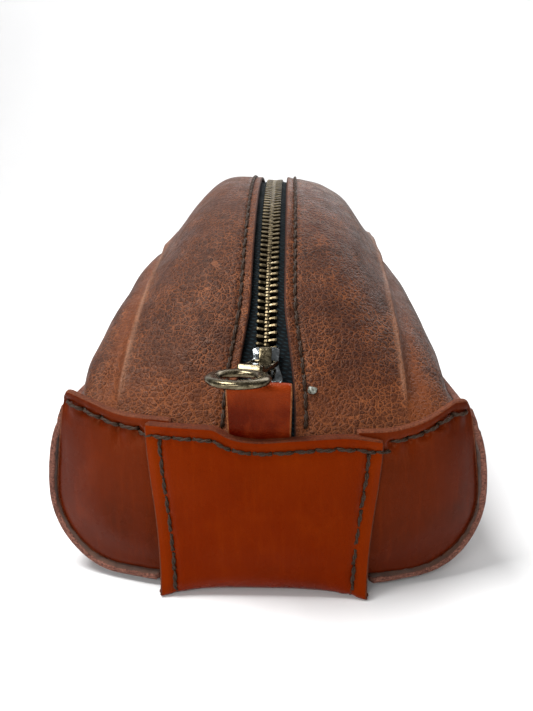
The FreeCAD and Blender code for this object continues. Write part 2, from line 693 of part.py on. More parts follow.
# ---- everything ----------------------------------------------------------------------------------
def main():
    os.makedirs(OUT, exist_ok=True)
    save("base_wrap", base_wrap())
    save("centre_strap", centre_strap())
    near_wing = wing()
    save("near_wing_right", near_wing)
    save("near_wing_left", mirror_x(near_wing))
    save("far_wing_right", mirror_y(near_wing))
    save("far_wing_left", mirror_y(mirror_x(near_wing)))
    near_tab = zip_tab()
    save("near_zip_tab", near_tab)
    save("far_zip_tab", mirror_y(near_tab))

    sided = {
        "panel_ends": panel_ends(),
        "panel_mouth": [panel_mouth()],
        "zip_tape_ends": over_ends(tape_strip, TAPE_END_Y),
        "zip_tape_mouth": [over_mouth(tape_strip)],
        "zip_seam_thread_ends": over_ends(seam_strip, TAPE_END_Y - 3),
        "zip_seam_thread_mouth": [over_mouth(seam_strip)],
        "strap_thread": strap_thread(),
        "side_seam_thread": [side_seam_thread()],
    }
    for name, shapes in sided.items():
        save("right_" + name, group(shapes))
        save("left_" + name, group([mirror_x(s) for s in shapes]))
    for side, word in ((1, "right"), (-1, "left")):
        ends, mouth = teeth(side)
        save(word + "_zip_teeth_ends", group(ends))
        save(word + "_zip_teeth_mouth", group(mouth))
    save("zip_top_stops", group(top_stops()))
    save("zip_bottom_stop", bottom_stop())

    near_seam = end_seam_thread()
    save("near_seam_thread", group(near_seam))
    save("far_seam_thread", group([mirror_y(s) for s in near_seam]))
    near_flange = flange_thread()
    save("near_flange_thread", group(near_flange))
    save("far_flange_thread", group([mirror_y(s) for s in near_flange]))

    save("slider_body", on_arc(slider_body(), SLIDER_REST_DEG))
    save("slider_crown", on_arc(slider_crown(), SLIDER_REST_DEG))
    save("slider_lock_pin", on_arc(slider_lock_pin(), SLIDER_REST_DEG))
    save("zip_pull", zip_pull())
    pivot = pull_pivot()
    print(f"pull pivot {pivot.x:.3f} {pivot.y:.3f} {pivot.z:.3f}, zip circle centre z {CIRCLE_Z:.3f}")


main()
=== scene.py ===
import json
import math
import random

import bmesh
import bpy
import numpy as np
from mathutils import Matrix, Vector, noise


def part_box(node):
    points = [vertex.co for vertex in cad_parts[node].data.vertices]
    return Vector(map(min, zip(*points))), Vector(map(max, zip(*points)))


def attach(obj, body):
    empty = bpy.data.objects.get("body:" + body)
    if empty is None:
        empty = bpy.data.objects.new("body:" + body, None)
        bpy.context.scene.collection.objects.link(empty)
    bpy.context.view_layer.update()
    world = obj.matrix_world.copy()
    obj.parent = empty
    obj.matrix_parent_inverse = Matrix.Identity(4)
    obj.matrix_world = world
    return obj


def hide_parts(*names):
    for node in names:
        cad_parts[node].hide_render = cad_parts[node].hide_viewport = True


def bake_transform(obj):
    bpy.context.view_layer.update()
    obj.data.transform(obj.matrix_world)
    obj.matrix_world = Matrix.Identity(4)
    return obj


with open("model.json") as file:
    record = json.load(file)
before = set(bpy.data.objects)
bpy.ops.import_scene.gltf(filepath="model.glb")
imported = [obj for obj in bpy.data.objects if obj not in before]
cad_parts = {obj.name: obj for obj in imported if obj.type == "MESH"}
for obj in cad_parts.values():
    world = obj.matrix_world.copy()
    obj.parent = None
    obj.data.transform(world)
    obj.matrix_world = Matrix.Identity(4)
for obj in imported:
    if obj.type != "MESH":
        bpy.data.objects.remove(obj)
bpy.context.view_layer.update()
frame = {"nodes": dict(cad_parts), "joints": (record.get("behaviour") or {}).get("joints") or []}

# Shapes are worked out in millimetres in the CAD's frame and turned into metres when a mesh is made.
MM = 0.001
SEED = 7

# ---- places taken from the frame ----
JOINTS = {j["name"]: j for j in frame["joints"]}
CIRCLE_Z = JOINTS["slider_travel"]["pos_m"][2] / MM


def box_mm(node):
    low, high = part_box(node)
    return np.array(low) / MM, np.array(high) / MM


SIDES = {1: "right", -1: "left"}
ENDS = {-1: "near", 1: "far"}
TOOTH_HALF_THICK = 1.0
ZIP_RADIUS = box_mm("right_zip_teeth_mouth")[1][2] - TOOTH_HALF_THICK - CIRCLE_Z
STRAP_FACE_Y = -box_mm("centre_strap")[0][1]
STRAP_TOP_HALF = box_mm("centre_strap")[1][0]
BASE_SIDE_X = box_mm("base_wrap")[1][0] + 0.4
BASE_TOP_Z = box_mm("base_wrap")[1][2]
BASE_UNDER_Z = box_mm("base_wrap")[0][2]

# ---- dimensions of the leather ----
END_BOW = 0.00403             # the ends curve back by END_BOW * x^2
STRAP_FLOOR_HALF = 27.5
STRAP_BEND = 7.0
STRAP_THICK = 2.0
WING_FACE_Y = 124.5
WING_THICK = 1.7
WING_INNER_X = 25.0
FLANGE_Y = 125.0
FLANGE_NOTCH = 8.5            # how much shorter the base is behind the strap
LIP_STEP_BACK = 1.3           # and how far it ends behind the wings' face near the lip
BASE_THICK = 2.0
BASE_TOP_HALF = 57.0
BASE_TOP_DROP = 1.2           # the leather wall ends this far below the CAD's
RIGHT_WALL_IN = 1.7           # the slack bag's right wall leans in this much more half way along
BASE_CORNER = 21.0
HEM_X = {-1: 54.6, 1: 53.0}   # the panels' hem inside the base wall
PANEL_THICK = 1.7
PANEL_RAISE = 1.9             # outer leather above the middle of the chain
PANEL_END_DEG = 58.0
STITCH_PITCH = 5.3
STITCH_INSET = 2.6
STRAP_STITCH_INSET = 3.6
HOLE_DEPTH = 0.45
HOLE_SIZE = 0.9
GROOVE_DEPTH = 0.16
GROOVE_SIZE = 1.2
WINDOW_HALF = 5.3
WINDOW_FLARE = 3.2
TAB_HALF = 8.1
TAB_SHIFT = -1.1              # the near tab sits a little to the left


# ---- numbers ----
def fade(value, start, end):
    """A smooth step: 0 up to `start` and 1 from `end` on, where `end` may be the smaller one."""
    t = np.clip((value - start) / (end - start), 0.0, 1.0)
    return t * t * (3 - 2 * t)


def bump(d, width):
    return np.exp(-((d / width) ** 2))


def monotone(points):
    """A smooth curve through the points that never overshoots them, as a function of x."""
    x, y = np.array(points, float).T
    slope = np.diff(y) / np.diff(x)
    tangent = np.concatenate([[slope[0]], (slope[:-1] + slope[1:]) / 2, [slope[-1]]])
    flat = np.concatenate([[False], slope[:-1] * slope[1:] <= 0, [False]])
    tangent[flat] = 0

    def curve(at):
        at = np.clip(at, x[0], x[-1])
        i = np.clip(np.searchsorted(x, at, side="right") - 1, 0, len(x) - 2)
        h = x[i + 1] - x[i]
        t = (at - x[i]) / h
        a = (1 + 2 * t) * (1 - t) ** 2 * y[i] + t * t * (3 - 2 * t) * y[i + 1]
        return a + h * (t * (1 - t) ** 2 * tangent[i] - t * t * (1 - t) * tangent[i + 1])

    return curve


def noise_field(points, scale, seed=0.0):
    """Smooth noise between about -1 and 1, with features of `scale` millimetres."""
    flat = points.reshape(-1, 3) / scale + seed
    values = [noise.noise(Vector(p)) for p in flat]
    return np.array(values).reshape(points.shape[:-1])


def unit(v):
    return v / np.maximum(np.linalg.norm(v, axis=-1, keepdims=True), 1e-9)


def grid_normals(grid):
    du = np.gradient(grid, axis=0)
    dv = np.gradient(grid, axis=1)
    n = unit(np.cross(du, dv))
    away = grid - np.array([0, 0, 55.0])
    return n if (n * away).sum() > 0 else -n


# ---- meshes ----
def add_object(name, data):
    obj = bpy.data.objects.new(name, data)
    bpy.context.scene.collection.objects.link(obj)
    return obj


def add_mesh(name, points, faces, materials, slots=None, flat=False):
    mesh = bpy.data.meshes.new(name)
    mesh.from_pydata((np.asarray(points) * MM).tolist(), [], [list(map(int, f)) for f in faces])
    for m in materials:
        mesh.materials.append(m)
    if slots is not None:
        mesh.polygons.foreach_set("material_index", np.asarray(slots, np.int32))
    if not flat:
        mesh.polygons.foreach_set("use_smooth", np.ones(len(mesh.polygons), bool))
    mesh.update()
    return add_object(name, mesh)


def face_outward(mesh):
    shells = bmesh.new()
    shells.from_mesh(mesh)
    bmesh.ops.recalc_face_normals(shells, faces=shells.faces)
    shells.to_mesh(mesh)
    shells.free()


def perimeter(rows, cols):
    """The border of a grid as a closed loop of (row, column)."""
    loop = [(0, c) for c in range(cols)]
    loop += [(r, cols - 1) for r in range(1, rows)]
    loop += [(rows - 1, c) for c in range(cols - 2, -1, -1)]
    loop += [(r, 0) for r in range(rows - 2, 0, -1)]
    return np.array(loop)


# A cut edge, from the outer face to the inner one: (height in the thickness, reach outward).
ONE_LAYER = [(0.82, 0.7), (0.45, 1.0), (-0.45, 1.0), (-0.82, 0.7)]
TWO_LAYERS = [(0.86, 0.75), (0.55, 1.0), (0.2, 0.8), (0.05, 0.1), (-0.1, 0.8), (-0.5, 0.95), (-0.85, 0.6)]


def leather_sheet(name, grid, thick, materials, edge_round=0.45, inner=None, profile=ONE_LAYER):
    """A closed sheet of leather: `grid` is its outer face, and its cut edges are slightly rounded.
    Materials are the grain side, the flesh side and the cut edge."""
    rows, cols = grid.shape[:2]
    if inner is None:
        inner = grid - grid_normals(grid) * thick
    count = rows * cols
    ids = np.arange(count).reshape(rows, cols)
    a, b = ids[:-1, :-1].ravel(), ids[1:, :-1].ravel()
    c, d = ids[1:, 1:].ravel(), ids[:-1, 1:].ravel()
    quads = np.stack([a, b, c, d], 1)
    under = np.stack([a, d, c, b], 1) + count

    loop = perimeter(rows, cols)
    lr, lc = loop[:, 0], loop[:, 1]
    top, low = grid[lr, lc], inner[lr, lc]
    inside = grid[np.clip(lr, 1, rows - 2), np.clip(lc, 1, cols - 2)]
    n = unit(top - low)
    out = top - inside
    out = unit(out - n * (out * n).sum(-1, keepdims=True))
    points = [grid.reshape(-1, 3), inner.reshape(-1, 3)]
    rings = [ids[lr, lc]]
    total = 2 * count
    for height, reach in profile:
        ring = (top + low) / 2 + (top - low) / 2 * height + out * reach * edge_round
        points.append(ring)
        rings.append(np.arange(total, total + len(loop)))
        total += len(loop)
    rings.append(ids[lr, lc] + count)
    walls = []
    for one, two in zip(rings, rings[1:]):
        walls.append(np.stack([one, np.roll(one, -1), np.roll(two, -1), two], 1))
    walls = np.concatenate(walls)
    faces = np.concatenate([quads, under, walls])
    slots = [0] * len(quads) + [1] * len(under) + [2] * len(walls)
    obj = add_mesh(name, np.concatenate(points), faces, materials, slots)
    face_outward(obj.data)
    return obj


def paint(obj, name, values):
    """Stores a number on each point; the points after the given ones get 0."""
    layer = obj.data.attributes.new(name, "FLOAT", "POINT")
    whole = np.zeros(len(obj.data.vertices), np.float32)
    whole[: values.size] = values.ravel()
    layer.data.foreach_set("value", whole)


def along(points):
    """How far along a line each of its points is."""
    return np.concatenate([[0], np.cumsum(np.linalg.norm(np.diff(points, axis=0), axis=1))])


def evenly(points, count, values=None):
    """The line's points, or the values given for them, at evenly spaced places."""
    length = along(points)
    at = np.linspace(0, length[-1], count)
    values = points if values is None else values
    return np.stack([np.interp(at, length, column) for column in values.T], 1)


def stitch_places(points, normals):
    """Places one stitch apart along a line: (points, normals)."""
    count = max(2, int(round(along(points)[-1] / STITCH_PITCH)) + 1)
    return evenly(points, count), unit(evenly(points, count, normals))


def dented(grid, normals, holes, depth=HOLE_DEPTH, groove=GROOVE_DEPTH):
    """Presses a row of stitch holes into a grid, and a shallow groove along the row."""
    flat = grid.reshape(-1, 3)
    nearest = np.full(len(flat), 1e9)
    for h in holes:
        nearest = np.minimum(nearest, np.linalg.norm(flat - h, axis=1))
    line = np.full(len(flat), 1e9)
    for p, q in zip(holes, holes[1:]):
        if np.linalg.norm(q - p) < 3 * STITCH_PITCH:
            t = np.clip(((flat - p) @ (q - p)) / ((q - p) @ (q - p)), 0, 1)
            line = np.minimum(line, np.linalg.norm(flat - (p + t[:, None] * (q - p)), axis=1))
    press = depth * bump(nearest, HOLE_SIZE) + groove * bump(line, GROOVE_SIZE)
    press -= 0.08 * bump(line - 2.1, 0.8) * (1 - bump(nearest, 2.2))
    return grid - normals * press.reshape(grid.shape[:2])[..., None]


THREAD_STEPS = 11
THREAD_SIDES = 6
THREAD_RADIUS = 0.33
STRAND_APART = 0.27           # from the stitch's middle line to each strand's
STRAND_TURNS = 1.15
STITCH_RISE = 0.36
STITCH_SINK = 0.95
STITCH_SLANT = 0.04


def tube_faces(rings, sides, base=0):
    """The faces of a closed tube: rings of points, with the first point numbered `base`."""
    faces = []
    last = base + (rings - 1) * sides
    for low in range(base, last, sides):
        for k in range(sides):
            m = (k + 1) % sides
            faces.append((low + k, low + m, low + sides + m, low + sides + k))
    faces.append([base + k for k in reversed(range(sides))])
    faces.append([last + k for k in range(sides)])
    return faces


def strands(a, b, n, rng):
    """A stitch between two holes: two twisted strands over the leather, each as rings of points."""
    side = unit(np.cross(b - a, n))
    lean = STITCH_SLANT * (1 + 0.5 * rng.uniform(-1, 1))
    rise = STITCH_RISE * (1 + 0.15 * rng.uniform(-1, 1))
    phase = rng.uniform(0, math.pi)
    t = np.linspace(0, 1, THREAD_STEPS)
    lift = rise * np.sin(math.pi * t) ** 0.45 - STITCH_SINK * (1 - np.sin(math.pi * t) ** 0.35)
    centre = a + (b - a) * (0.01 + 0.98 * t)[:, None] + n * lift[:, None]
    centre = centre + side * (lean * (t - 0.5) * np.linalg.norm(b - a))[:, None]
    forward = unit(np.gradient(centre, axis=0))
    up = unit(np.cross(forward, side) * -1)
    up = np.where((up * n).sum(-1, keepdims=True) < 0, -up, up)
    across = unit(np.cross(forward, up))
    for start in (phase, phase + math.pi):
        turn = start + 2 * math.pi * STRAND_TURNS * t
        axis = centre + (across * np.cos(turn)[:, None] + up * np.sin(turn)[:, None] * 0.7) * STRAND_APART
        ring = []
        for k in range(THREAD_SIDES):
            w = 2 * math.pi * k / THREAD_SIDES
            ring.append(axis + (across * math.cos(w) - up * math.sin(w)) * THREAD_RADIUS)
        yield np.stack(ring, 1).reshape(-1, 3)


def stitches(name, rows):
    """Rows of saddle stitches, each row as (holes, normals)."""
    points, faces = [], []
    rng = random.Random(SEED)
    for holes, normals in rows:
        for i in range(len(holes) - 1):
            for strand in strands(holes[i], holes[i + 1], unit(normals[i] + normals[i + 1]), rng):
                faces += tube_faces(THREAD_STEPS, THREAD_SIDES, len(points) * len(strand))
                points.append(strand)
    return add_mesh(name, np.concatenate(points), faces, [THREAD])


# ---- materials ----
class Graph:
    """A short way to write a material's nodes. Sizes are in millimetres."""

    def __init__(self, name, **shader):
        self.material = bpy.data.materials.new(name)
        self.material.use_nodes = True
        self.tree = self.material.node_tree
        self.tree.nodes.clear()
        inputs = {key.replace("_", " "): value for key, value in shader.items()}
        self.bsdf = self.add("ShaderNodeBsdfPrincipled", inputs)
        self.add("ShaderNodeOutputMaterial", {0: self.bsdf.outputs[0]})
        self.coords = self.add("ShaderNodeTexCoord").outputs["Object"]

    def feed(self, socket, value):
        """Gives a socket another node's output, a colour (a tuple), a vector (a list) or a number."""
        if isinstance(value, bpy.types.NodeSocket):
            self.tree.links.new(value, socket)
        elif isinstance(value, tuple):
            socket.default_value = (*value, 1)
        else:
            socket.default_value = value

    def add(self, kind, inputs=None, **settings):
        node = self.tree.nodes.new(kind)
        for key, value in settings.items():
            setattr(node, key, value)
        for key, value in (inputs or {}).items():
            self.feed(node.inputs[key], value)
        return node

    def scaled(self, scale, stretch=(1, 1, 1), turn=(0, 0, 0)):
        """Coordinates in which one unit is `scale` millimetres."""
        sizes = {"Scale": [s / (scale * MM) for s in stretch], "Rotation": list(turn)}
        return self.add("ShaderNodeMapping", sizes | {"Vector": self.coords}).outputs[0]

    def noise(self, scale, detail=3.0, rough=0.55, distort=0.0, **where):
        sizes = {"Scale": 1.0, "Detail": detail, "Roughness": rough, "Distortion": distort}
        return self.add("ShaderNodeTexNoise", sizes | {"Vector": self.scaled(scale, **where)}).outputs["Fac"]

    def warped(self, scale, amount, warp_scale):
        """Coordinates pushed about by noise, so that cells get crooked sides."""
        sizes = {"Scale": 1.0, "Detail": 2.0, "Vector": self.scaled(warp_scale)}
        push = {0: self.add("ShaderNodeTexNoise", sizes).outputs["Color"], "Scale": amount}
        shift = self.add("ShaderNodeVectorMath", push, operation="SCALE")
        both = {0: self.scaled(scale), 1: shift.outputs[0]}
        return self.add("ShaderNodeVectorMath", both, operation="ADD").outputs[0]

    def cells(self, vector):
        """Each point's distance from the nearest side of its cell."""
        inputs = {"Scale": 1.0, "Vector": vector}
        return self.add("ShaderNodeTexVoronoi", inputs, feature="DISTANCE_TO_EDGE").outputs["Distance"]

    def painted(self, name):
        return self.add("ShaderNodeAttribute", attribute_name=name).outputs["Fac"]

    def bands(self, scale, direction, **inputs):
        inputs |= {"Scale": 1.0, "Vector": self.scaled(scale)}
        return self.add("ShaderNodeTexWave", inputs, bands_direction=direction).outputs["Fac"]

    def ramp(self, value, stops):
        node = self.add("ShaderNodeValToRGB", {"Fac": value})
        node.color_ramp.interpolation = "EASE"
        while len(node.color_ramp.elements) < len(stops):
            node.color_ramp.elements.new(0.5)
        for element, (at, colour) in zip(node.color_ramp.elements, stops):
            element.position = at
            element.color = (*colour, 1)
        return node.outputs["Color"]

    def grey(self, value, start, end, low=0.0, high=1.0):
        """Grey that goes from `low` to `high` as the value goes from `start` to `end`."""
        return self.ramp(value, [(start, (low,) * 3), (end, (high,) * 3)])

    def mix(self, factor, a, b):
        return self.add("ShaderNodeMix", {0: factor, 6: a, 7: b}, data_type="RGBA").outputs[2]

    def math(self, operation, a, b):
        return self.add("ShaderNodeMath", {0: a, 1: b}, operation=operation).outputs[0]

    def bump(self, height, distance, strength, **under):
        inputs = {"Strength": strength, "Distance": distance * MM, "Height": height}
        return self.add("ShaderNodeBump", inputs | under).outputs[0]

    def finish(self, colour, rough, normal=None):
        self.feed(self.bsdf.inputs["Base Color"], colour)
        self.feed(self.bsdf.inputs["Roughness"], rough)
        if normal is not None:
            self.feed(self.bsdf.inputs["Normal"], normal)
        return self.material


def pebbled_leather():
    """Dark maroon pebbles with a net of orange-brown veins where the wax has cracked.
    Where the mesh's wear number is high the leather is rubbed back to a plain orange brown, and a painted
    highlight, a thin light line, runs along the crease's crest."""
    g = Graph("pebbled_leather", Specular_IOR_Level=0.17, Specular_Tint=(1.0, 0.60, 0.42))
    big = g.cells(g.warped(1.65, 0.5, 2.4))
    small = g.cells(g.warped(0.8, 0.35, 1.3))
    worn = g.painted("wear_and_painted_light")
    dark = g.ramp(g.noise(12, detail=5), [(0.3, (0.016, 0.0058, 0.0042)), (0.7, (0.034, 0.0115, 0.0072))])
    patch = g.math("ADD", g.noise(14, detail=4), g.math("MULTIPLY", worn, 0.35))
    veins = g.ramp(patch, [(0.3, (0.088, 0.028, 0.012)), (0.75, (0.230, 0.074, 0.026))])
    fine = g.math("MULTIPLY", g.grey(small, 0.0, 0.10, 1.0, 0.0), 0.7)
    net = g.math("MAXIMUM", g.grey(big, 0.0, 0.09, 1.0, 0.0), fine)
    broken = g.grey(g.noise(3.4), 0.30, 0.52, 0.35, 1.0)
    colour = g.mix(g.math("MULTIPLY", g.math("MULTIPLY", net, broken), 0.9), dark, veins)
    scratch = g.noise(1.5, distort=0.4, stretch=(1, 0.1, 0.25), turn=(0.3, 0.5, 0.6))
    colour = g.mix(g.grey(scratch, 0.66, 0.74, high=0.45), colour, (0.13, 0.042, 0.018))
    scuff = g.noise(9, detail=8, rough=0.7, distort=1.2)
    colour = g.mix(g.grey(scuff, 0.56, 0.72, high=0.4), colour, (0.066, 0.024, 0.013))
    rubbed = g.math("MULTIPLY", worn, g.grey(g.noise(3.0, detail=5), 0.25, 0.6, 0.55, 1.0))
    colour = g.mix(g.math("MULTIPLY", rubbed, 0.8), colour, (0.118, 0.029, 0.0075))
    # painted highlight: a thin light line along the crease's crest, where the mesh's crest number is high
    colour = g.mix(g.painted("crest"), colour, (0.300, 0.150, 0.090))
    rough = g.grey(g.noise(5, detail=4), 0.3, 0.7, 0.40, 0.56)
    height = g.math("ADD", g.grey(big, 0.0, 0.3), g.grey(small, 0.0, 0.3, high=0.6))
    normal = g.bump(g.noise(0.5, detail=2), 0.05, 0.5, Normal=g.bump(height, 0.13, 0.9))
    return g.finish(colour, rough, normal)


def smooth_leather(name, colours, gloss, shine, tint, grain=0.45):
    """Smooth dyed leather: cloudy colour, fine pores and faint rubbed streaks.
    It is lighter where the mesh's wear-and-light number is high: in strips along the strap's edges, and as
    painted light on the wings, the strap's upper wall and the tab's fold."""
    deep, warm, light = colours
    g = Graph(name, Specular_IOR_Level=shine, Specular_Tint=tint)
    colour = g.ramp(g.noise(26, detail=5, rough=0.6), [(0.2, deep), (0.5, warm), (0.85, light)])
    streak = g.noise(1.6, detail=4, rough=0.65, stretch=(1, 1, 0.12))
    colour = g.mix(g.grey(streak, 0.45, 0.8, high=0.28), colour, light)
    colour = g.mix(g.grey(g.noise(0.8, detail=2), 0.62, 0.72, high=0.25), colour, deep)
    # painted light: lightens the wings higher up, the strap's upper wall and the tab's fold, besides the
    # strap's edge strips
    colour = g.mix(g.math("MULTIPLY", g.painted("wear_and_painted_light"), 0.8), colour, light)
    rough = g.grey(g.noise(11, detail=5), 0.3, 0.7, gloss, gloss + 0.13)
    pores = g.cells(g.warped(0.55, 0.5, 1.0))
    normal = g.bump(g.grey(pores, 0.0, 0.25), 0.035, grain, Normal=g.bump(g.noise(9), 0.5, 0.25))
    return g.finish(colour, rough, normal)


def flesh_side():
    """The unlined inside of the leather: a short brown nap."""
    g = Graph("flesh_side", Sheen_Weight=0.25, Sheen_Roughness=0.5)
    nap = g.noise(6, detail=6, rough=0.7)
    colour = g.ramp(nap, [(0.3, (0.055, 0.021, 0.011)), (0.7, (0.11, 0.046, 0.024))])
    rough = g.grey(g.noise(3), 0.3, 0.7, 0.85, 0.95)
    return g.finish(colour, rough, g.bump(g.noise(0.45, detail=4, rough=0.7), 0.2, 0.7))


def cut_edge(name, deep, light):
    """The cut edge of thick leather: fibres in layers along the sheet."""
    g = Graph(name, Specular_IOR_Level=0.12)
    fibre = g.noise(0.5, detail=6, rough=0.75, distort=0.6)
    colour = g.mix(g.grey(fibre, 0.35, 0.68), deep, light)
    colour = g.mix(g.grey(g.noise(4), 0.4, 0.75, high=0.45), colour, deep)
    return g.finish(colour, g.grey(fibre, 0.3, 0.7, 0.55, 0.8), g.bump(fibre, 0.18, 0.8))


def melted_wax():
    g = Graph("melted_wax", Coat_Weight=0.2, Coat_Roughness=0.2, Specular_IOR_Level=0.4)
    colour = g.ramp(g.noise(0.9, detail=4), [(0.35, (0.060, 0.058, 0.044)), (0.65, (0.26, 0.27, 0.23))])
    return g.finish(colour, g.grey(g.noise(0.6), 0.3, 0.7, 0.3, 0.5), g.bump(g.noise(0.5), 0.1, 0.6))


def waxed_thread():
    g = Graph("waxed_thread", Coat_Weight=0.03, Coat_Roughness=0.3, Specular_IOR_Level=0.16)
    fibre = g.noise(0.32, detail=5, rough=0.7)
    light = (0.13, 0.072, 0.040)
    colour = g.ramp(fibre, [(0.3, (0.010, 0.005, 0.003)), (0.6, (0.038, 0.019, 0.010)), (0.8, light)])
    return g.finish(colour, g.grey(g.noise(1.4), 0.3, 0.7, 0.42, 0.62), g.bump(fibre, 0.09, 0.6))


def zip_cloth():
    """Near-black twill with a teal cast."""
    g = Graph("zip_cloth", Specular_IOR_Level=0.12)
    weave = g.math("MULTIPLY", g.bands(3.2, "DIAGONAL", Distortion=0.6), g.bands(2.6, "Y"))
    colour = g.mix(g.grey(weave, 0.1, 0.8), (0.0012, 0.0020, 0.0026), (0.007, 0.015, 0.019))
    return g.finish(colour, g.grey(g.noise(2), 0.3, 0.7, 0.75, 0.9), g.bump(weave, 0.14, 0.8))


def antique_brass(name, dark, body, bright, bright_at, rough_low, rough_high):
    """Metal with a dull patina that is rubbed bright in patches."""
    g = Graph(name, Metallic=1.0)
    colour = g.ramp(g.noise(2.2, detail=5, rough=0.65), [(0.3, dark), (0.5, body), (bright_at, bright)])
    rough = g.grey(g.noise(1.1, detail=4), 0.3, 0.7, rough_low, rough_high)
    return g.finish(colour, rough, g.bump(g.noise(0.5), 0.03, 0.4))


RUSSET = ((0.034, 0.0036, 0.0003), (0.064, 0.0062, 0.0005), (0.140, 0.0175, 0.0020))
TAN = ((0.092, 0.0068, 0.0002), (0.120, 0.0088, 0.0002), (0.180, 0.0200, 0.0006))
OXBLOOD = ((0.036, 0.0009, 0.0001), (0.064, 0.0020, 0.0001), (0.260, 0.0330, 0.0050))
ZIP_BRASS = ((0.030, 0.023, 0.012), (0.125, 0.096, 0.054), (0.30, 0.25, 0.16))
WORN_NICKEL = ((0.07, 0.08, 0.08), (0.25, 0.27, 0.28), (0.52, 0.55, 0.57))
CAST_BRASS = ((0.034, 0.026, 0.014), (0.125, 0.102, 0.062), (0.33, 0.285, 0.19))

PEBBLED = pebbled_leather()
WING = smooth_leather("wing_leather", RUSSET, 0.20, 0.12, (1.0, 0.42, 0.20))
BASE = smooth_leather("base_leather", RUSSET, 0.32, 0.08, (1.0, 0.40, 0.18))
STRAP = smooth_leather("strap_leather", TAN, 0.20, 0.10, (1.0, 0.35, 0.08))
TAB = smooth_leather("tab_leather", OXBLOOD, 0.17, 0.22, (1.0, 0.35, 0.12), grain=1.0)
FLESH = flesh_side()
FLANGE_EDGE = cut_edge("flange_edge", (0.036, 0.009, 0.006), (0.31, 0.135, 0.095))
LIP_EDGE = cut_edge("lip_edge", (0.058, 0.012, 0.005), (0.19, 0.060, 0.026))
STRAP_EDGE = cut_edge("strap_edge", (0.055, 0.009, 0.003), (0.14, 0.034, 0.010))
TAB_EDGE = cut_edge("tab_edge", (0.120, 0.030, 0.008), (0.400, 0.150, 0.050))
PANEL_EDGE = cut_edge("panel_edge", (0.020, 0.007, 0.005), (0.085, 0.028, 0.014))
THREAD = waxed_thread()
MELTED = melted_wax()
TAPE = zip_cloth()
TEETH = antique_brass("teeth_brass", *ZIP_BRASS, 0.8, 0.28, 0.42)
POLISHED = antique_brass("polished_plate", *WORN_NICKEL, 0.6, 0.08, 0.16)
SLIDER = antique_brass("slider_brass", *CAST_BRASS, 0.8, 0.16, 0.3)


# ---- the upper panels ----
# The bag is a little slack, so its two panels differ. A section is the share of the arch's height at an x.
SHARE_X = (WINDOW_HALF, 12, 20, 28, 35, 41, 46, 50, 54, 57)
HEIGHT_SHARE = {
    -1: (1, 1, 0.969, 0.861, 0.708, 0.572, 0.483, 0.375, 0.204, 0.031),
    1: (1, 0.979, 0.942, 0.852, 0.688, 0.559, 0.43, 0.327, 0.19, 0.031),
}
SECTION = {side: monotone(list(zip(SHARE_X, shares))) for side, shares in HEIGHT_SHARE.items()}
# Each panel's widest x, how far its ends bow back, how much higher its foot is at the side, the crease's x in
# the middle, and how much further out the crease is at the ends.
PANELS = {
    -1: {"seam": 57.8, "bow": 0.086, "rise": 6.6, "crease": 39.0, "crease_out": 1.9},
    1: {"seam": 55.6, "bow": 0.095, "rise": 7.4, "crease": 37.4, "crease_out": 1.5},
}
PANEL_HALF = 57.0
TUCK = 4.5                    # depth of hem inside the base wall
TUCK_ROWS = 3


def window_half(y):
    """The opening for the zip, which widens towards its ends."""
    return WINDOW_HALF + WINDOW_FLARE * fade(np.abs(y), 92, 120)


def ridge(degrees, above):
    """(y, z) on the zip's circle."""
    a = np.radians(degrees)
    r = ZIP_RADIUS + above
    return r * np.sin(a), CIRCLE_Z + r * np.cos(a)


END_Z = ridge(PANEL_END_DEG, PANEL_RAISE)[1]


def panel_point(degrees, share, side):
    """Points of a panel's outer face, by degrees along the arch and share of the way to the side seam."""
    panel = PANELS[side]
    y_zip, z_zip = ridge(degrees, PANEL_RAISE)
    start = window_half(y_zip)
    x = start + (panel["seam"] - start) * share
    as_middle = SHARE_X[0] + (SHARE_X[-1] - SHARE_X[0]) * share
    foot = END_Z + panel["rise"] * (x / PANEL_HALF) ** 2
    z = foot + (z_zip - END_Z) * SECTION[side](as_middle)
    y = y_zip * (1 - panel["bow"] * (x / PANEL_HALF) ** 2)
    x = x + (HEM_X[side] - panel["seam"]) * fade(z, 57.5, 49.5) * fade(share, 0.8, 1.0)
    return np.stack([x * side, y, z], -1)


def panel_shares(count):
    """Shares spaced closer together beside the zip, where the stitches press in."""
    t = np.linspace(0, 1, count)
    return 0.62 * t + 0.38 * t * t


def zip_seam_line(side, count=700):
    """The row of stitches beside the zip: points and normals."""
    limit = PANEL_END_DEG - 2.0
    degrees = np.linspace(-limit, limit, count)
    y, _ = ridge(degrees, PANEL_RAISE)
    share = STITCH_INSET / (PANELS[side]["seam"] - window_half(y))
    p = panel_point(degrees, share, side)
    q = panel_point(degrees, share + 0.02, side)
    n = unit(np.cross(np.gradient(p, axis=0), q - p))
    n = np.where(n[:, 2:] < 0, -n, n)
    return p, n


ZIP_HOLES = {side: stitch_places(*zip_seam_line(side)) for side in SIDES}


def crumpled(grid, normals, side):
    """Folds the panel along its crease, hollows it outside the crease and adds the leather's slack."""
    x, y = np.abs(grid[..., 0]), grid[..., 1]
    open_part = fade(grid[..., 2], 48, 57)
    d = from_crease(grid, side)
    fold = 1.3 * np.exp(-np.abs(d) / 0.6) + 0.5 * bump(d, 6)
    fold = fold - 1.4 * bump(d - 3.4, 2.6) + 0.7 * bump(d - 10, 4)
    slack = 0.5 * noise_field(grid, 38, 5.0 + side) + 0.3 * noise_field(grid, 14, 9.0 + side)
    end_fold = 0.45 * np.sin((x - 14) / 7.5) * fade(np.abs(y), 92, 110) * fade(x, 14, 22)
    calm = fade(x, 12, 24) * fade(grid[..., 2], 47, 53)
    amount = fold * open_part + slack * calm + 0.4 * end_fold * calm
    return grid + normals * amount[..., None]


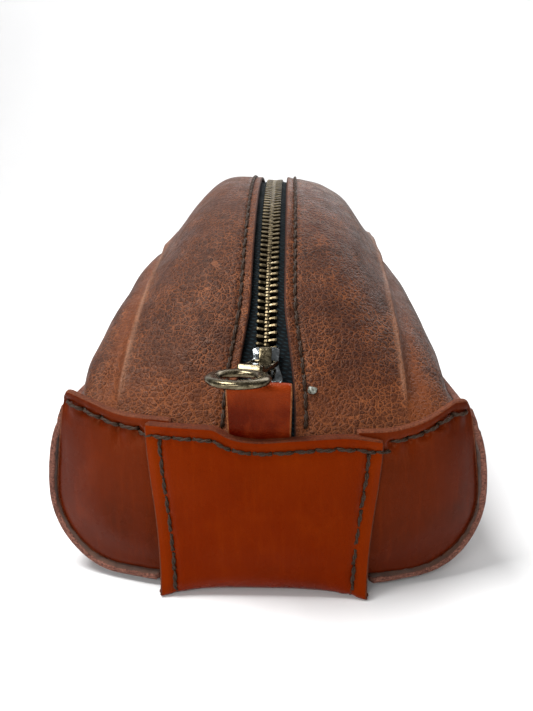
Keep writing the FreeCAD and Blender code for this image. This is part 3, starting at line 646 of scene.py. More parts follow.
def panel_grid(side, rows=250, cols=96):
    degrees = np.linspace(-PANEL_END_DEG, PANEL_END_DEG, rows)[:, None] + np.zeros((1, cols))
    share = np.zeros((rows, 1)) + panel_shares(cols)[None, :]
    grid = panel_point(degrees, share, side)
    normals = grid_normals(grid)
    grid = crumpled(grid, normals, side)
    grid = dented(grid, normals, ZIP_HOLES[side][0])
    x = grid[..., 0]
    lip = np.where(grid[..., 1] < 0, wing_lip(x, -1), wing_lip(x, 1))
    behind_lip = fade(lip - grid[..., 2], 0.8, 3.3) * fade(np.abs(x) - WING_INNER_X, 0, 8)
    grid[..., 1] *= 1 - 0.028 * behind_lip
    hem = [grid]
    for k in range(1, TUCK_ROWS + 1):
        row = grid[:, -1:, :].copy()
        row[..., 2] -= TUCK * k / TUCK_ROWS
        row[..., 1] *= 1 - 0.006 * k
        hem.append(row)
    return np.concatenate(hem, axis=1)


def from_crease(grid, side):
    """How far outside its crease each point of a panel lies. The crease wanders a little along the bag."""
    panel = PANELS[side]
    drift = 1.2 * noise_field(grid * [0, 1, 0], 60, side * 3.1)
    return np.abs(grid[..., 0]) - panel["crease"] - panel["crease_out"] * (grid[..., 1] / 122) ** 2 - drift


def panel_wear(grid, side):
    """Rubbed leather: a band just outside the crease, along the zip window and down by the end seams."""
    x, y = np.abs(grid[..., 0]), grid[..., 1]
    d = from_crease(grid, side)
    beside = 0.85 * fade(d, 0, 0.8) * fade(d, 9, 4)
    at_zip = 0.3 * fade(x - window_half(y), 4, 0)
    at_ends = 0.5 * fade(np.abs(y) + 0.0035 * x * x, 106, 118)
    patchy = 0.75 + 0.5 * noise_field(grid, 18, 12.0)
    return np.clip((beside + at_zip + at_ends) * patchy, 0, 1)


def swing_with_mouth(piece, side, centres=None):
    """Bakes the piece's place into its mesh, and looks up the hinge of its side of the mouth."""
    word = SIDES[side]
    hinge = np.array(JOINTS[f"mouth_{word}_swing"]["pos_m"])
    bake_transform(piece)


def build_panel(side):
    word = SIDES[side]
    grid = panel_grid(side)
    panel = leather_sheet(word + "_upper_panel", grid, PANEL_THICK, [PEBBLED, FLESH, PANEL_EDGE])
    paint(panel, "wear_and_painted_light", panel_wear(grid, side))
    # painted highlight along the crease's crest, stored as the mesh's crest number
    crest = 0.55 * np.exp(-np.abs(from_crease(grid, side)) / 0.55)
    paint(panel, "crest", crest * fade(grid[..., 2], 50, 56))
    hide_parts(word + "_panel_ends", word + "_panel_mouth")
    swing_with_mouth(panel, side)


def build_zip_seam(side):
    word = SIDES[side]
    row = stitches(word + "_zip_stitches", [ZIP_HOLES[side]])
    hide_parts(word + "_zip_seam_thread_ends", word + "_zip_seam_thread_mouth")
    swing_with_mouth(row, side)


BEAD_Z = 54.0
BEAD_SIZE = (1.25, 1.1, 0.62)
BEAD_ASIDE = 2.0
BEAD_RAISE = 0.35


def build_melted_end():
    """The last end of the thread, melted into a flat bead beside the right seam."""
    holes, normals = ZIP_HOLES[1]
    near_end = holes[:, 1] < 0
    at = np.argmin(np.where(near_end, np.abs(holes[:, 2] - BEAD_Z), np.inf))
    out = unit(normals[at])
    along_seam = unit(holes[at + 1] - holes[at])
    sideways = np.cross(along_seam, out)
    sideways = sideways * np.sign(sideways[0])
    ball_mesh = bmesh.new()
    bmesh.ops.create_icosphere(ball_mesh, subdivisions=4, radius=1.0)
    ball = np.array([v.co for v in ball_mesh.verts])
    faces = [[v.index for v in face.verts] for face in ball_mesh.faces]
    ball_mesh.free()
    lumps = 1 + 0.30 * noise_field(ball, 0.9, 17.0)
    ball = ball * lumps[:, None] * BEAD_SIZE
    points = holes[at] + BEAD_ASIDE * sideways + BEAD_RAISE * out
    points = points + ball[:, :1] * sideways + ball[:, 1:2] * along_seam + ball[:, 2:] * out
    bead = add_mesh("melted_thread_end", points, faces, [MELTED])
    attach(bead, "root")


# ---- the zip ----
TAPE_INNER = 2.9
TAPE_OUTER = 15.0
TAPE_THICK = 0.55
TAPE_GAP = 0.35               # between the leather's flesh side and the tape
CORD_RAISE = 0.35
TAPE_END_DEG = 57.6
TOOTH_PITCH = 2.5
TOOTH_LEAN_DEG = 7.0
TOOTH_ROOT_X = 3.0


def build_tape(side):
    """One side's woven tape, from the chain to under the leather, with a corded edge at the teeth."""
    word = SIDES[side]
    rows, cols = 240, 12
    degrees = np.linspace(-TAPE_END_DEG, TAPE_END_DEG, rows)[:, None] + np.zeros((1, cols))
    x = np.linspace(TAPE_INNER, TAPE_OUTER, cols)[None, :] + np.zeros((rows, 1))
    y, z = ridge(degrees, 0.0)
    start = window_half(y)
    share = np.clip((x - start) / (PANELS[side]["seam"] - start), 0, 1)
    slope = panel_point(degrees, share, side)[..., 2] - ridge(degrees, PANEL_RAISE)[1]
    under = PANEL_RAISE - PANEL_THICK - TAPE_GAP
    z = z + np.where(x > start, slope, 0) + under + 0.12 * np.sin(degrees)
    z[:, 0] += CORD_RAISE
    grid = np.stack([x * side, y, z], -1)
    tape = leather_sheet(word + "_zip_tape", grid, TAPE_THICK, [TAPE, TAPE, TAPE], edge_round=0.2)
    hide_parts(word + "_zip_tape_ends", word + "_zip_tape_mouth")
    swing_with_mouth(tape, side)


def tooth_mesh():
    """One tooth along +x: a waisted bar with a swollen head and a clamp end, as (points, faces)."""
    stations = [
        (-0.85, 0.30, 0.55), (-0.55, 0.44, 0.80), (0.1, 0.46, 0.86), (0.6, 0.36, 0.78),
        (1.1, 0.42, 0.92), (2.3, 0.50, 1.02), (2.8, 0.50, 1.0), (3.05, 0.38, 0.8),
    ]
    ring = [(-1, -0.8), (-0.8, -1), (0.8, -1), (1, -0.8), (1, 0.8), (0.72, 1), (-0.72, 1), (-1, 0.8)]
    points = [(x, y * half, z * high) for x, half, high in stations for y, z in ring]
    return np.array(points), tube_faces(len(stations), len(ring))


def on_chain(points, degrees):
    """From axes at a place on the chain (Y along it, Z outward) to the bag's axes."""
    a = math.radians(degrees)
    x, y, z = points.T
    at_y, at_z = ridge(degrees, 0.0)
    along_y = y * math.cos(a) + z * math.sin(a) + at_y
    return np.stack([x, along_y, -y * math.sin(a) + z * math.cos(a) + at_z], 1)


def build_teeth(side):
    """One side's teeth. The two sides alternate."""
    word = SIDES[side]
    shape, shape_faces = tooth_mesh()
    shape[:, 1] += shape[:, 0] * math.tan(math.radians(TOOTH_LEAN_DEG))
    shape[:, 0] *= side
    travel = JOINTS["slider_travel"]["range_deg"][1]
    slider_y = sum(box_mm("slider_body"))[1] / 2
    step = math.degrees(TOOTH_PITCH / ZIP_RADIUS)
    start = math.degrees(math.asin(slider_y / ZIP_RADIUS)) - 0.6 * step + (0 if side > 0 else step / 2)
    points, faces, centres = [], [], []
    for i in range(int((travel + 3.0) / step)):
        degrees = start + i * step
        faces += [[len(points) * len(shape) + k for k in f[::side]] for f in shape_faces]
        points.append(on_chain(shape, degrees))
        centres.append(np.tile([side * TOOTH_ROOT_X, *ridge(degrees, 0.0)], (len(shape), 1)))
    teeth = add_mesh(word + "_zip_teeth", np.concatenate(points), faces, [TEETH], flat=True)
    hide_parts(word + "_zip_teeth_ends", word + "_zip_teeth_mouth")
    swing_with_mouth(teeth, side, np.concatenate(centres))


# ---- the slider and its pull ----
def loft(rings, material):
    """A closed tube through rings of points, all with the same count."""
    faces = tube_faces(len(rings), len(rings[0]))
    return add_mesh("loft", np.concatenate(rings), faces, [material])


def merged(name, pieces):
    """Joins pieces into one, and turns all their faces outward."""
    whole = bmesh.new()
    materials = []
    for piece in pieces:
        material = piece.data.materials[0]
        if material not in materials:
            materials.append(material)
        for face in piece.data.polygons:
            face.material_index = materials.index(material)
        whole.from_mesh(piece.data)
        bpy.data.objects.remove(piece)
    mesh = bpy.data.meshes.new(name)
    whole.to_mesh(mesh)
    whole.free()
    face_outward(mesh)
    for material in materials:
        mesh.materials.append(material)
    return add_object(name, mesh)


SLIDER_DEG = -JOINTS["slider_travel"]["range_deg"][1] / 2 - 0.3
BRIDGE_HALF_WIDTH = box_mm("slider_crown")[1][0] + 0.23
PLATE_HALF_LENGTH = 5.75
PLATE_HALF_WIDTH = 4.4
PLATE_INNER = 1.3             # the plates' faces, above and below the chain's middle
PLATE_OUTER = 2.5
PLATE_DOME = 0.3
RIM_HALF_WIDTH = 0.24
POST_FACE = 1.22
POST_HALF_THICK = 0.16
BRIDGE_HALF_THICK = 0.4
ARM_X = 3.3
PIN_RADIUS = 0.68
PIN_HALF_LENGTH = 3.6
RING_RADIUS = 8.3
RING_HOLE = 4.7
RING_THICK = 2.2
PULL_LENGTH = 21.6
PULL_DROOP_DEG = -3.0


def on_slider(points):
    return on_chain(points, SLIDER_DEG)


def plate_outline(count=72):
    """The slider's plate: narrow at its far end, with two rounded lobes at its near end."""
    right = monotone([
        (-5.75, 1.9), (-5.55, 3.6), (-5.0, 4.6), (-4.0, 4.88), (-2.6, 4.5), (-0.6, 3.9), (2.0, 3.75),
        (4.2, 3.95), (5.2, 3.7), (5.6, 3.1), (5.75, 2.2),
    ])
    y = -PLATE_HALF_LENGTH * np.cos(np.linspace(0, math.pi, count))
    x = right(y)
    return np.concatenate([np.stack([x, y], 1), np.stack([-x, y], 1)[::-1]])


def slider_plate(low, high, crest, material):
    """A plate whose edges are rounded and whose outer face is slightly domed."""
    outline = plate_outline()
    rings = []
    for inset, share in ((0.5, 0), (0.12, 0.12), (0, 0.4), (0.08, 0.72), (0.3, 0.92), (0.7, 1), (2.2, 1)):
        shrunk = outline * (1 - inset / PLATE_HALF_WIDTH)
        z = low + (high - low) * share + crest * (inset > 2)
        rings.append(on_slider(np.column_stack([shrunk, np.full(len(outline), z)])))
    return loft(rings, material)


def rounded_ring(half_x, half_z, count, power):
    """A box's outline with corners that are squarer for a higher power."""
    a = np.linspace(0, 2 * math.pi, count, endpoint=False)
    c, q = np.cos(a), np.sin(a)
    x = np.sign(c) * np.abs(c) ** (2 / power) * half_x
    z = np.sign(q) * np.abs(q) ** (2 / power) * half_z
    return x, z


def bar(place, stations, count, power):
    """A bar through stations (y, x, z, half width, half height), put in the bag by `place`."""
    rings = []
    for y, x, z, half_x, half_z in stations:
        cx, cz = rounded_ring(half_x, half_z, count, power)
        rings.append(place(np.stack([x + cx, np.full(count, y), z + cz], 1)))
    return loft(rings, SLIDER)


def plate_rim(side, low, high):
    """The ridge that guides the teeth along one edge of a plate."""
    stations = []
    for y in np.linspace(-4.6, 5.0, 16):
        x = np.interp(y, [-4.6, -3.8, -2.4, 0.0, 5.0], [4.25, 4.45, 4.15, 3.6, 3.55])
        stations.append((y, side * x, (low + high) / 2, RIM_HALF_WIDTH, (high - low) / 2))
    return bar(on_slider, stations, 10, 3.0)


def post_root(side):
    """What shows of the post between the plates, on the face of one plate."""
    widths = ((-5.3, 0.5), (-5.0, 0.95), (-4.2, 1.25), (-3.2, 0.8), (-2.5, 0.15))
    stations = [(y, 0, side * POST_FACE, half, POST_HALF_THICK) for y, half in widths]
    return bar(on_slider, stations, 16, 5)


def build_slider():
    pieces = [
        slider_plate(PLATE_INNER, PLATE_OUTER, PLATE_DOME, POLISHED),
        slider_plate(-PLATE_INNER, -PLATE_OUTER, 0, SLIDER),
    ]
    for side in (-1, 1):
        pieces += [plate_rim(side, 0.5, 1.5), plate_rim(side, -1.5, -1.05)]
    pieces += [post_root(-1), post_root(1)]
    body = merged("slider_plates", pieces)
    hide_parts("slider_body")
    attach(body, "slider")


def build_bridge():
    """The arched strip over the top plate that holds the pull."""
    right = [(0, 6.6), (2.4, 6.5), (3.1, 6.25), (3.5, 5.6), (3.6, 4.6), (3.6, 3.4), (3.55, 2.35)]
    left = [(-y, z) for y, z in reversed(right[1:])]
    path = evenly(np.array(left + right), 60)
    tangent = unit(np.gradient(path, axis=0))
    outward = np.stack([-tangent[:, 1], tangent[:, 0]], 1)
    cx, ct = rounded_ring(BRIDGE_HALF_WIDTH, BRIDGE_HALF_THICK, 24, 4.5)
    rings = []
    for (y, z), (ny, nz) in zip(path, outward):
        rings.append(on_slider(np.stack([cx, y + ct * ny, z + ct * nz], 1)))
    crown = merged("slider_bridge", [loft(rings, SLIDER)])
    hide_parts("slider_crown")
    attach(crown, "slider")


def on_pull(points):
    """From the pull's own axes (it hangs along -Y from its pivot) to the bag's."""
    joint = JOINTS["pull_flip"]
    yaw = -math.atan2(joint["axis"][1], -joint["axis"][0])
    turn = Matrix.Rotation(yaw, 3, "Z") @ Matrix.Rotation(math.radians(PULL_DROOP_DEG), 3, "X")
    return points @ np.array(turn).T + np.array(joint["pos_m"]) / MM


def cast_ring(around=72, sides=20):
    """The pull's ring, of a nearly round section."""
    middle, half = (RING_RADIUS + RING_HOLE) / 2, (RING_RADIUS - RING_HOLE) / 2
    across, sz = rounded_ring(half, RING_THICK / 2, sides, 2.3)
    r = middle + across
    points, faces = [], []
    for i in range(around):
        a = 2 * math.pi * i / around
        points.append(np.stack([r * math.sin(a), -PULL_LENGTH + r * math.cos(a), sz], 1))
        for k in range(sides):
            m, j = (k + 1) % sides, (i + 1) % around
            faces.append((i * sides + k, i * sides + m, j * sides + m, j * sides + k))
    return add_mesh("ring", on_pull(np.concatenate(points)), faces, [SLIDER])


def build_pull():
    """A cast ring on a short shank with a raised bar, whose eye hangs on the bridge by a round pin."""
    shank = [
        (-16.6, 0, 0, 2.2, 0.6), (-16.2, 0, 0, 2.7, 0.78), (-13.5, 0, 0, 3.3, 0.8),
        (-13.2, 0, 0.45, 3.4, 1.2), (-12.9, 0, 0.55, 3.45, 1.3), (-11.7, 0, 0.55, 3.5, 1.3),
        (-11.3, 0, 0.3, 3.55, 1.05), (-10.9, 0, 0, 3.6, 0.78), (-5.5, 0, 0, 3.78, 0.75),
        (-5.15, 0, 0, 3.78, 0.6),
    ]
    pieces = [cast_ring(), bar(on_pull, shank, 28, 6)]
    for side in (-1, 1):
        sizes = ((-6.0, 0.75), (-5.5, 1.0), (-0.3, 1.0), (0.35, 0.9), (0.7, 0.6))
        arm = [(y, side * ARM_X, 0, 0.46 * size, 0.75 * size) for y, size in sizes]
        pieces.append(bar(on_pull, arm, 16, 4))
    cy, cz = rounded_ring(PIN_RADIUS, PIN_RADIUS, 16, 2)
    pin_x = np.linspace(-PIN_HALF_LENGTH, PIN_HALF_LENGTH, 12)
    pieces.append(loft([on_pull(np.stack([np.full(16, x), cy, cz], 1)) for x in pin_x], SLIDER))
    pull = merged("ring_pull", pieces)
    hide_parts("zip_pull")
    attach(pull, "pull")


# ---- the base, wings and strap ----
def base_outline(count, inset=0.0):
    """The base's U from the right top round to the left top: points (x, z), evenly spaced."""
    radius = BASE_CORNER - inset
    half = BASE_SIDE_X - inset
    turn_z = BASE_UNDER_Z + BASE_CORNER
    top_z = BASE_TOP_Z - BASE_TOP_DROP
    wall_z = np.linspace(top_z, turn_z, 40)
    t = (wall_z - turn_z) / (top_z - turn_z)
    wall = np.stack([half - (BASE_SIDE_X - BASE_TOP_HALF) * t**2, wall_z], 1)
    a = np.linspace(0, math.pi / 2, 40)[1:]
    corner = np.stack([half - radius + radius * np.cos(a), turn_z - radius * np.sin(a)], 1)
    right = np.concatenate([wall, corner])
    whole = np.concatenate([right, right[::-1] * [-1, 1]])
    return evenly(whole, count)


def base_end(x, z):
    """How far the base reaches along Y: the flange stands out past the wings, and stops behind the strap."""
    behind = fade(np.abs(x) - STRAP_FLOOR_HALF, 2.2, 0.6) * (z < 15)
    merges = fade(z, 38, 48)
    reach = FLANGE_Y - END_BOW * x * x
    return reach - behind * FLANGE_NOTCH - merges * (FLANGE_Y - WING_FACE_Y + LIP_STEP_BACK)


def wall_lean(y, z):
    """How far the slack right wall leans in: most half way along the bag and at the top."""
    return RIGHT_WALL_IN * fade(z, 25, 50) * (1 - (y / FLANGE_Y) ** 2)


SIDE_SEAM_HALF = 108.0
SIDE_STITCHES = 41


def side_holes(side):
    y = np.linspace(-SIDE_SEAM_HALF, SIDE_SEAM_HALF, SIDE_STITCHES + 1)
    x = BASE_TOP_HALF + 0.6
    x = x - wall_lean(y, BASE_TOP_Z - 4) * (side > 0)
    p = np.stack([side * x, y, np.full_like(y, BASE_TOP_Z - BASE_TOP_DROP - STITCH_INSET)], 1)
    n = np.tile([side * 1.0, 0, 0.1], (len(y), 1))
    return p, unit(n)


def flange_holes(end, side):
    """Stitches through the base wall just behind the flange's cut edge."""
    outline = base_outline(400)
    keep = (outline[:, 0] * side > STRAP_TOP_HALF + 3) & (outline[:, 1] < BASE_TOP_Z - 6)
    x, z = outline[keep].T
    y = end * (WING_FACE_Y - WING_THICK / 2 - 0.6 - END_BOW * x * x)
    p = np.stack([x, y, z], 1)
    t = np.gradient(outline[keep], axis=0)
    n = unit(np.stack([-t[:, 1], np.zeros(len(x)), t[:, 0]], 1))
    n = np.where(((n * (p - [0, 0, 40])).sum(-1) < 0)[:, None], -n, n)
    return stitch_places(p, n)


def build_base():
    cols, rows = 190, 150
    outline = base_outline(cols)
    t = np.linspace(-1, 1, rows)
    t = np.sign(t) * (1 - (1 - np.abs(t)) ** 1.25)
    x, z = outline[None, :, 0], outline[None, :, 1]
    reach = base_end(x, z)
    grid = np.zeros((rows, cols, 3))
    grid[..., 0], grid[..., 1], grid[..., 2] = x, t[:, None] * reach, z
    grid[..., 0] -= wall_lean(grid[..., 1], grid[..., 2]) * (grid[..., 0] > 0)
    normals = grid_normals(grid)
    near_end = fade(np.abs(grid[..., 1]) - reach, -9, 0)
    wave = noise_field(grid, 17, 2.0)
    side_slack = 0.8 * noise_field(grid, 55, 4.0) * (1 - near_end) * fade(grid[..., 2], 8, 18)
    grid = grid + normals * (side_slack + 0.4 * wave * near_end + 0.5 * near_end**3)[..., None]
    grid[..., 1] += np.sign(grid[..., 1]) * 0.35 * wave * near_end
    for side in (-1, 1):
        for row in (flange_holes(-1, side), flange_holes(1, side), side_holes(side)):
            grid = dented(grid, normals, row[0])
    ragged = 0.45 * noise_field(grid, 2.2, 6.0) + 0.35 * noise_field(grid, 9, 7.0)
    inner = grid - grid_normals(grid) * (BASE_THICK + (ragged - 0.3) * near_end)[..., None]
    leathers = [BASE, FLESH, FLANGE_EDGE]
    base = leather_sheet("base_shell", grid, BASE_THICK, leathers, edge_round=0.3, inner=inner)
    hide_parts("base_wrap")
    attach(base, "root")


LIP_MIDDLE = 44.7
# The near lip's height across the strap and the wings: it dips in front of the tab and droops to the right.
STRAP_LIP = monotone([(-31, 47.9), (-14, 47.9), (-8.5, 45.5), (-1, 44.6), (7, 45.1), (20, 45.6), (32, 43.6)])
WING_LIP = monotone([
    (-56, 54.0), (-48.5, 51.8), (-39, 49.2), (-31.5, 48.9), (31, 46.0), (43, 47.8), (51.5, 52.0),
])
FAR_LIP = monotone([(0, 45.0), (8, 45.2), (15, 47.2), (31, 47.6), (43, 49.4), (56, 53.2)])
FAR_WING_HIGHER = 0.8
CORNER_X = 56.6
CORNER_ROUND = 3.2


def strap_lip(x, end):
    return STRAP_LIP(x) if end < 0 else FAR_LIP(np.abs(x))


def wing_level(x, end):
    return WING_LIP(x) if end < 0 else FAR_LIP(np.abs(x)) + FAR_WING_HIGHER


def wing_lip(x, end):
    """The wings' top edge, which turns down at the outer corner."""
    turn = np.clip((np.abs(x) - CORNER_X + CORNER_ROUND) / CORNER_ROUND, 0, 1)
    return wing_level(x, end) - CORNER_ROUND * (1 - np.sqrt(1 - turn**2 * 0.98))


def end_y(face, x, end):
    return end * (face - END_BOW * x * x)


def end_normals(x, end):
    return unit(np.stack([2 * END_BOW * x, np.full_like(x, end), np.zeros_like(x)], 1))


def wing_outline(count, inset):
    """The wing's outer border, from the top corner down the wall, round the corner and in to the strap."""
    full = base_outline(1200, inset)
    return evenly(full[full[:, 0] > WING_INNER_X + 1.0], count)


def wing_holes(end, side):
    x = np.linspace(STRAP_TOP_HALF + 2.6, CORNER_X - 1.2, 200) * side
    z = wing_level(x, end) - STITCH_INSET - 0.4
    p = np.stack([x, end_y(WING_FACE_Y + 0.35, x, end), z], 1)
    return stitch_places(p, end_normals(x, end))


def lip_thickness(grid, lip, thick):
    """The leather's thickness, which grows to two layers by the lip."""
    return (thick + 1.1 * fade(grid[..., 2] - lip, -7, -3))[..., None]


def puckers(x, z, holes):
    """Soft ridges and hollows that run down from the stitches of a lip."""
    total = np.zeros_like(x)
    for i, (hx, _, hz) in enumerate(holes):
        reach = 5.0 + 3.5 * math.sin(1.7 * i)
        below = np.clip((hz - z) / reach, 0, 1)
        start = fade(hz - z, -0.8, 0.8)
        total -= bump(x - hx, 1.1 + 1.6 * below) * (1 - below) ** 1.5 * start
    return total


TURNED_EDGE = {"edge_round": 0.5, "profile": TWO_LAYERS}


def wing_flat(end, side, rows=110, cols=84):
    """The wing laid out in X and Z, from its outer border in to the strap, with Y left at 0."""
    border = wing_outline(rows, BASE_THICK - 0.3)
    down = np.linspace(0, 1, rows)
    share = np.linspace(0, 1, cols)
    share = 0.25 * share + 0.75 * share**2.1
    ox = border[:, 0] + (np.minimum(border[:, 0], CORNER_X) - border[:, 0]) * (1 - down) ** 6
    x = ox[:, None] + (WING_INNER_X - ox[:, None]) * share[None, :]
    top = wing_lip(x * side, end)
    straight = top[:, :1] + (top[:, -1:] - top[:, :1]) * share[None, :]
    outer = border[:, 1] + (top[0, 0] - border[0, 1]) * fade(down, 0.3, 0)
    inner = top[0, -1] + (border[-1, 1] - top[0, -1]) * down
    z = outer[:, None] + (inner - outer)[:, None] * share[None, :]
    z = z + (top - straight) * (1 - down[:, None]) ** 3
    return np.stack([x * side, np.zeros_like(x), z], -1)


def build_wing(end, side):
    """An end's leather beside the strap: full in the middle and rounded back where it meets the flange."""
    name = f"{ENDS[end]}_wing_{SIDES[side]}"
    grid = wing_flat(end, side)
    down = np.linspace(0, 1, len(grid))
    from_wall = np.linalg.norm((grid[:, :1] - grid)[..., [0, 2]], axis=-1)
    sewn = fade(down, 0.1, 0.26)[:, None]
    valley = -0.5 * np.exp(-from_wall / 0.6) - 0.9 * np.exp(-from_wall / 3.5) + 0.4
    z = grid[..., 2]
    belly = 1.3 * fade(from_wall, 0, 15) * fade(z, 58, 38) * fade(z, 3, 17)
    toward_strap = -0.9 * fade(np.abs(grid[..., 0]), 33, 24)
    slack = 0.5 * noise_field(grid, 24, 3.0 + side + end) * fade(from_wall, 0, 8)
    holes = wing_holes(end, side)[0]
    pulled = 1.3 * puckers(grid[..., 0], grid[..., 2], holes)
    face = WING_FACE_Y + valley * sewn + belly + toward_strap + slack + pulled
    grid[..., 1] = end_y(face, grid[..., 0], end)
    normals = grid_normals(grid)
    grid = dented(grid, normals, holes, groove=0.32)
    inner = grid - np.array([0, end, 0]) * lip_thickness(grid, wing_lip(grid[..., 0], end), WING_THICK)
    leathers = [WING, FLESH, LIP_EDGE]
    wing = leather_sheet(name + "_leather", grid, WING_THICK, leathers, inner=inner, **TURNED_EDGE)
    # Painted light: the wing is lighter higher up and away from the wall, as if lit from above.
    lit = fade(grid[..., 2], 8, 42) * fade(from_wall, 4, 16)
    paint(wing, "wear_and_painted_light", 0.55 * lit * (0.8 + 0.4 * noise_field(grid, 16, 13.0)))
    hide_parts(name)
    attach(wing, "root")


STRAIGHT = LIP_MIDDLE - STRAP_BEND * 0.5


def strap_half(from_lip):
    """The strap's half width, by distance from the lip: it narrows down the end wall."""
    return STRAP_FLOOR_HALF + (STRAP_TOP_HALF - STRAP_FLOOR_HALF) * fade(from_lip, STRAIGHT, 0)


def strap_path(count):
    """The strap's outer face in the middle, from the near lip, under the bag, to the far lip.
    Gives points (y, z), how far along each is, and the whole length."""
    points = [(-STRAP_FACE_Y, z) for z in np.linspace(LIP_MIDDLE, STRAP_BEND, 60)]
    for a in np.linspace(0, math.pi / 2, 24)[1:]:
        y = -STRAP_FACE_Y + STRAP_BEND - STRAP_BEND * math.cos(a)
        points.append((y, STRAP_BEND - STRAP_BEND * math.sin(a)))
    near = np.array(points)
    under = np.stack([np.linspace(near[-1, 0], -near[-1, 0], 200)[1:-1], np.zeros(198)], 1)
    whole = np.concatenate([near, under, near[::-1] * [-1, 1]])
    total = along(whole)[-1]
    return evenly(whole, count), np.linspace(0, total, count), total


def strap_surface(path, at, total, across):
    """Points of the strap's outer face: `across` from -1 at its left edge to 1 at its right edge.
    It bows with the lip at the top and runs straight across at the bottom, where its edges turn more
    sharply than its middle."""
    from_lip = np.minimum(at, total - at)
    end = np.where(path[:, :1] < 0, -1, 1)
    half = strap_half(from_lip)
    x = half[:, None] * across[None, :]
    bow = END_BOW * fade(path[:, 1:], 0, 26)
    y = path[:, :1] - end * bow * x * x
    top = np.where(end < 0, strap_lip(x, -1), strap_lip(x, 1)) - LIP_MIDDLE
    z = path[:, 1:] + top * fade(from_lip, 34, 0)[:, None]
    to_corner = STRAIGHT + STRAP_BEND * 0.35 - from_lip
    sharp = (0.75 * bump(to_corner, 8.0))[:, None] * np.abs(across[None, :]) ** 3.5
    y = y + (end * (STRAP_FACE_Y + 1.6) - y) * sharp
    z = z * (1 - sharp)
    return np.stack([x, y, z], -1)


def strap_edge_holes(side, steps=120):
    """The row of stitches up one edge of the strap."""
    path, at, total = strap_path(900)
    fine = strap_surface(path, at, total, np.linspace(-1, 1, steps + 1))
    share = (1 - STRAP_STITCH_INSET / strap_half(np.minimum(at, total - at))) * side
    column = (share + 1) / 2 * steps
    low = np.floor(column).astype(int)
    t = (column - low)[:, None]
    row = np.arange(len(column))
    p = fine[row, low] * (1 - t) + fine[row, low + 1] * t
    keep = (at > 3.0) & (at < total - 3.0)
    return stitch_places(p[keep], grid_normals(fine)[row, low][keep])


def strap_lip_holes(end):
    """The row of stitches along one lip of the strap, which steps back onto the wings at its ends."""
    x = np.linspace(-STRAP_TOP_HALF - 2.6, STRAP_TOP_HALF + 2.6, 300)
    over_edge = fade(np.abs(x) - STRAP_TOP_HALF, -0.5, 1.9)
    y = end_y(STRAP_FACE_Y - 1.9 * over_edge, x, end)
    p = np.stack([x, y, strap_lip(x, end) - STITCH_INSET - 0.3], 1)
    return stitch_places(p, end_normals(x, end))


STRAP_ROWS = [strap_edge_holes(-1), strap_edge_holes(1), strap_lip_holes(-1), strap_lip_holes(1)]
STRAP_FAN = math.pi / 2 * 0.92


def build_strap():
    path, at, total = strap_path(260)
    across = np.sin(np.linspace(-STRAP_FAN, STRAP_FAN, 70)) / math.sin(STRAP_FAN)
    grid = strap_surface(path, at, total, across)
    normals = grid_normals(grid)
    on_wall = fade(grid[..., 2], 6, 16)
    belly = 0.7 * (1 - (grid[..., 0] / STRAP_TOP_HALF) ** 4) * on_wall * fade(grid[..., 2], 46, 34)
    slack = 0.3 * noise_field(grid, 20, 1.0) * on_wall
    grid = grid + normals * (belly + slack)[..., None]
    for holes, _ in STRAP_ROWS:
        grid = dented(grid, normals, holes, depth=0.5, groove=0.26)
    lip = np.where(grid[..., 1] < 0, strap_lip(grid[..., 0], -1), strap_lip(grid[..., 0], 1))
    inner = grid - grid_normals(grid) * lip_thickness(grid, lip, STRAP_THICK)
    strap = leather_sheet("strap", grid, STRAP_THICK, [STRAP, FLESH, STRAP_EDGE], inner=inner, **TURNED_EDGE)
    # Lighter strips along both edges outside the stitches, and painted light: the strap is lighter towards
    # the top of its wall.
    outside = fade(np.abs(across), 0.84, 0.9)[None, :]
    high = fade(grid[..., 2], 18, 44)
    patchy = 0.25 * noise_field(grid, 14, 15.0) * on_wall
    paint(strap, "wear_and_painted_light", np.clip(0.45 * outside + 0.3 * high + patchy, 0, 1))
    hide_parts("centre_strap")
    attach(strap, "root")


def fixed_seam(name, rows, *nodes):
    piece = stitches(name, rows)
    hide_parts(*nodes)
    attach(piece, "root")


def build_seams():
    """Every row of stitches on the fixed part."""
    fixed_seam("strap_edge_stitches", STRAP_ROWS[:2], "right_strap_thread", "left_strap_thread")
    for (end, word), lip_row in zip(ENDS.items(), STRAP_ROWS[2:]):
        rows = [lip_row, wing_holes(end, 1), wing_holes(end, -1)]
        fixed_seam(word + "_lip_stitches", rows, word + "_seam_thread")
        rows = [flange_holes(end, 1), flange_holes(end, -1)]
        fixed_seam(word + "_flange_stitches", rows, word + "_flange_thread")
    for side, word in SIDES.items():
        fixed_seam(word + "_side_stitches", [side_holes(side)], word + "_side_seam_thread")


# ---- the zip tabs ----
TAB_FOLD = 1.85
TAB_FRONT_Y = -124.4
TAB_FOOT_Z = 37.0
TAB_BEND_Z = 45.0             # above this the tab leans outward
TAB_LEAN = math.tan(math.radians(13.0))
TAB_THICK = 1.55


def tab_path(top):
    """The near tab's outer face in the middle, up its front, over the fold and down its back: (y, z)."""
    points = [(TAB_FRONT_Y, z) for z in np.linspace(TAB_FOOT_Z, TAB_BEND_Z, 8)[:-1]]
    for z in np.linspace(TAB_BEND_Z, top, 26):
        points.append((TAB_FRONT_Y - TAB_LEAN * (z - TAB_BEND_Z), z))
    centre_y = points[-1][0] + TAB_FOLD
    for a in np.linspace(0, math.pi, 22)[1:]:
        points.append((centre_y - TAB_FOLD * math.cos(a), top + TAB_FOLD * math.sin(a)))
    for z in np.linspace(top, TAB_BEND_Z, 26)[1:]:
        points.append((centre_y + TAB_FOLD + TAB_LEAN * (top - z), z))
    return np.array(points), centre_y


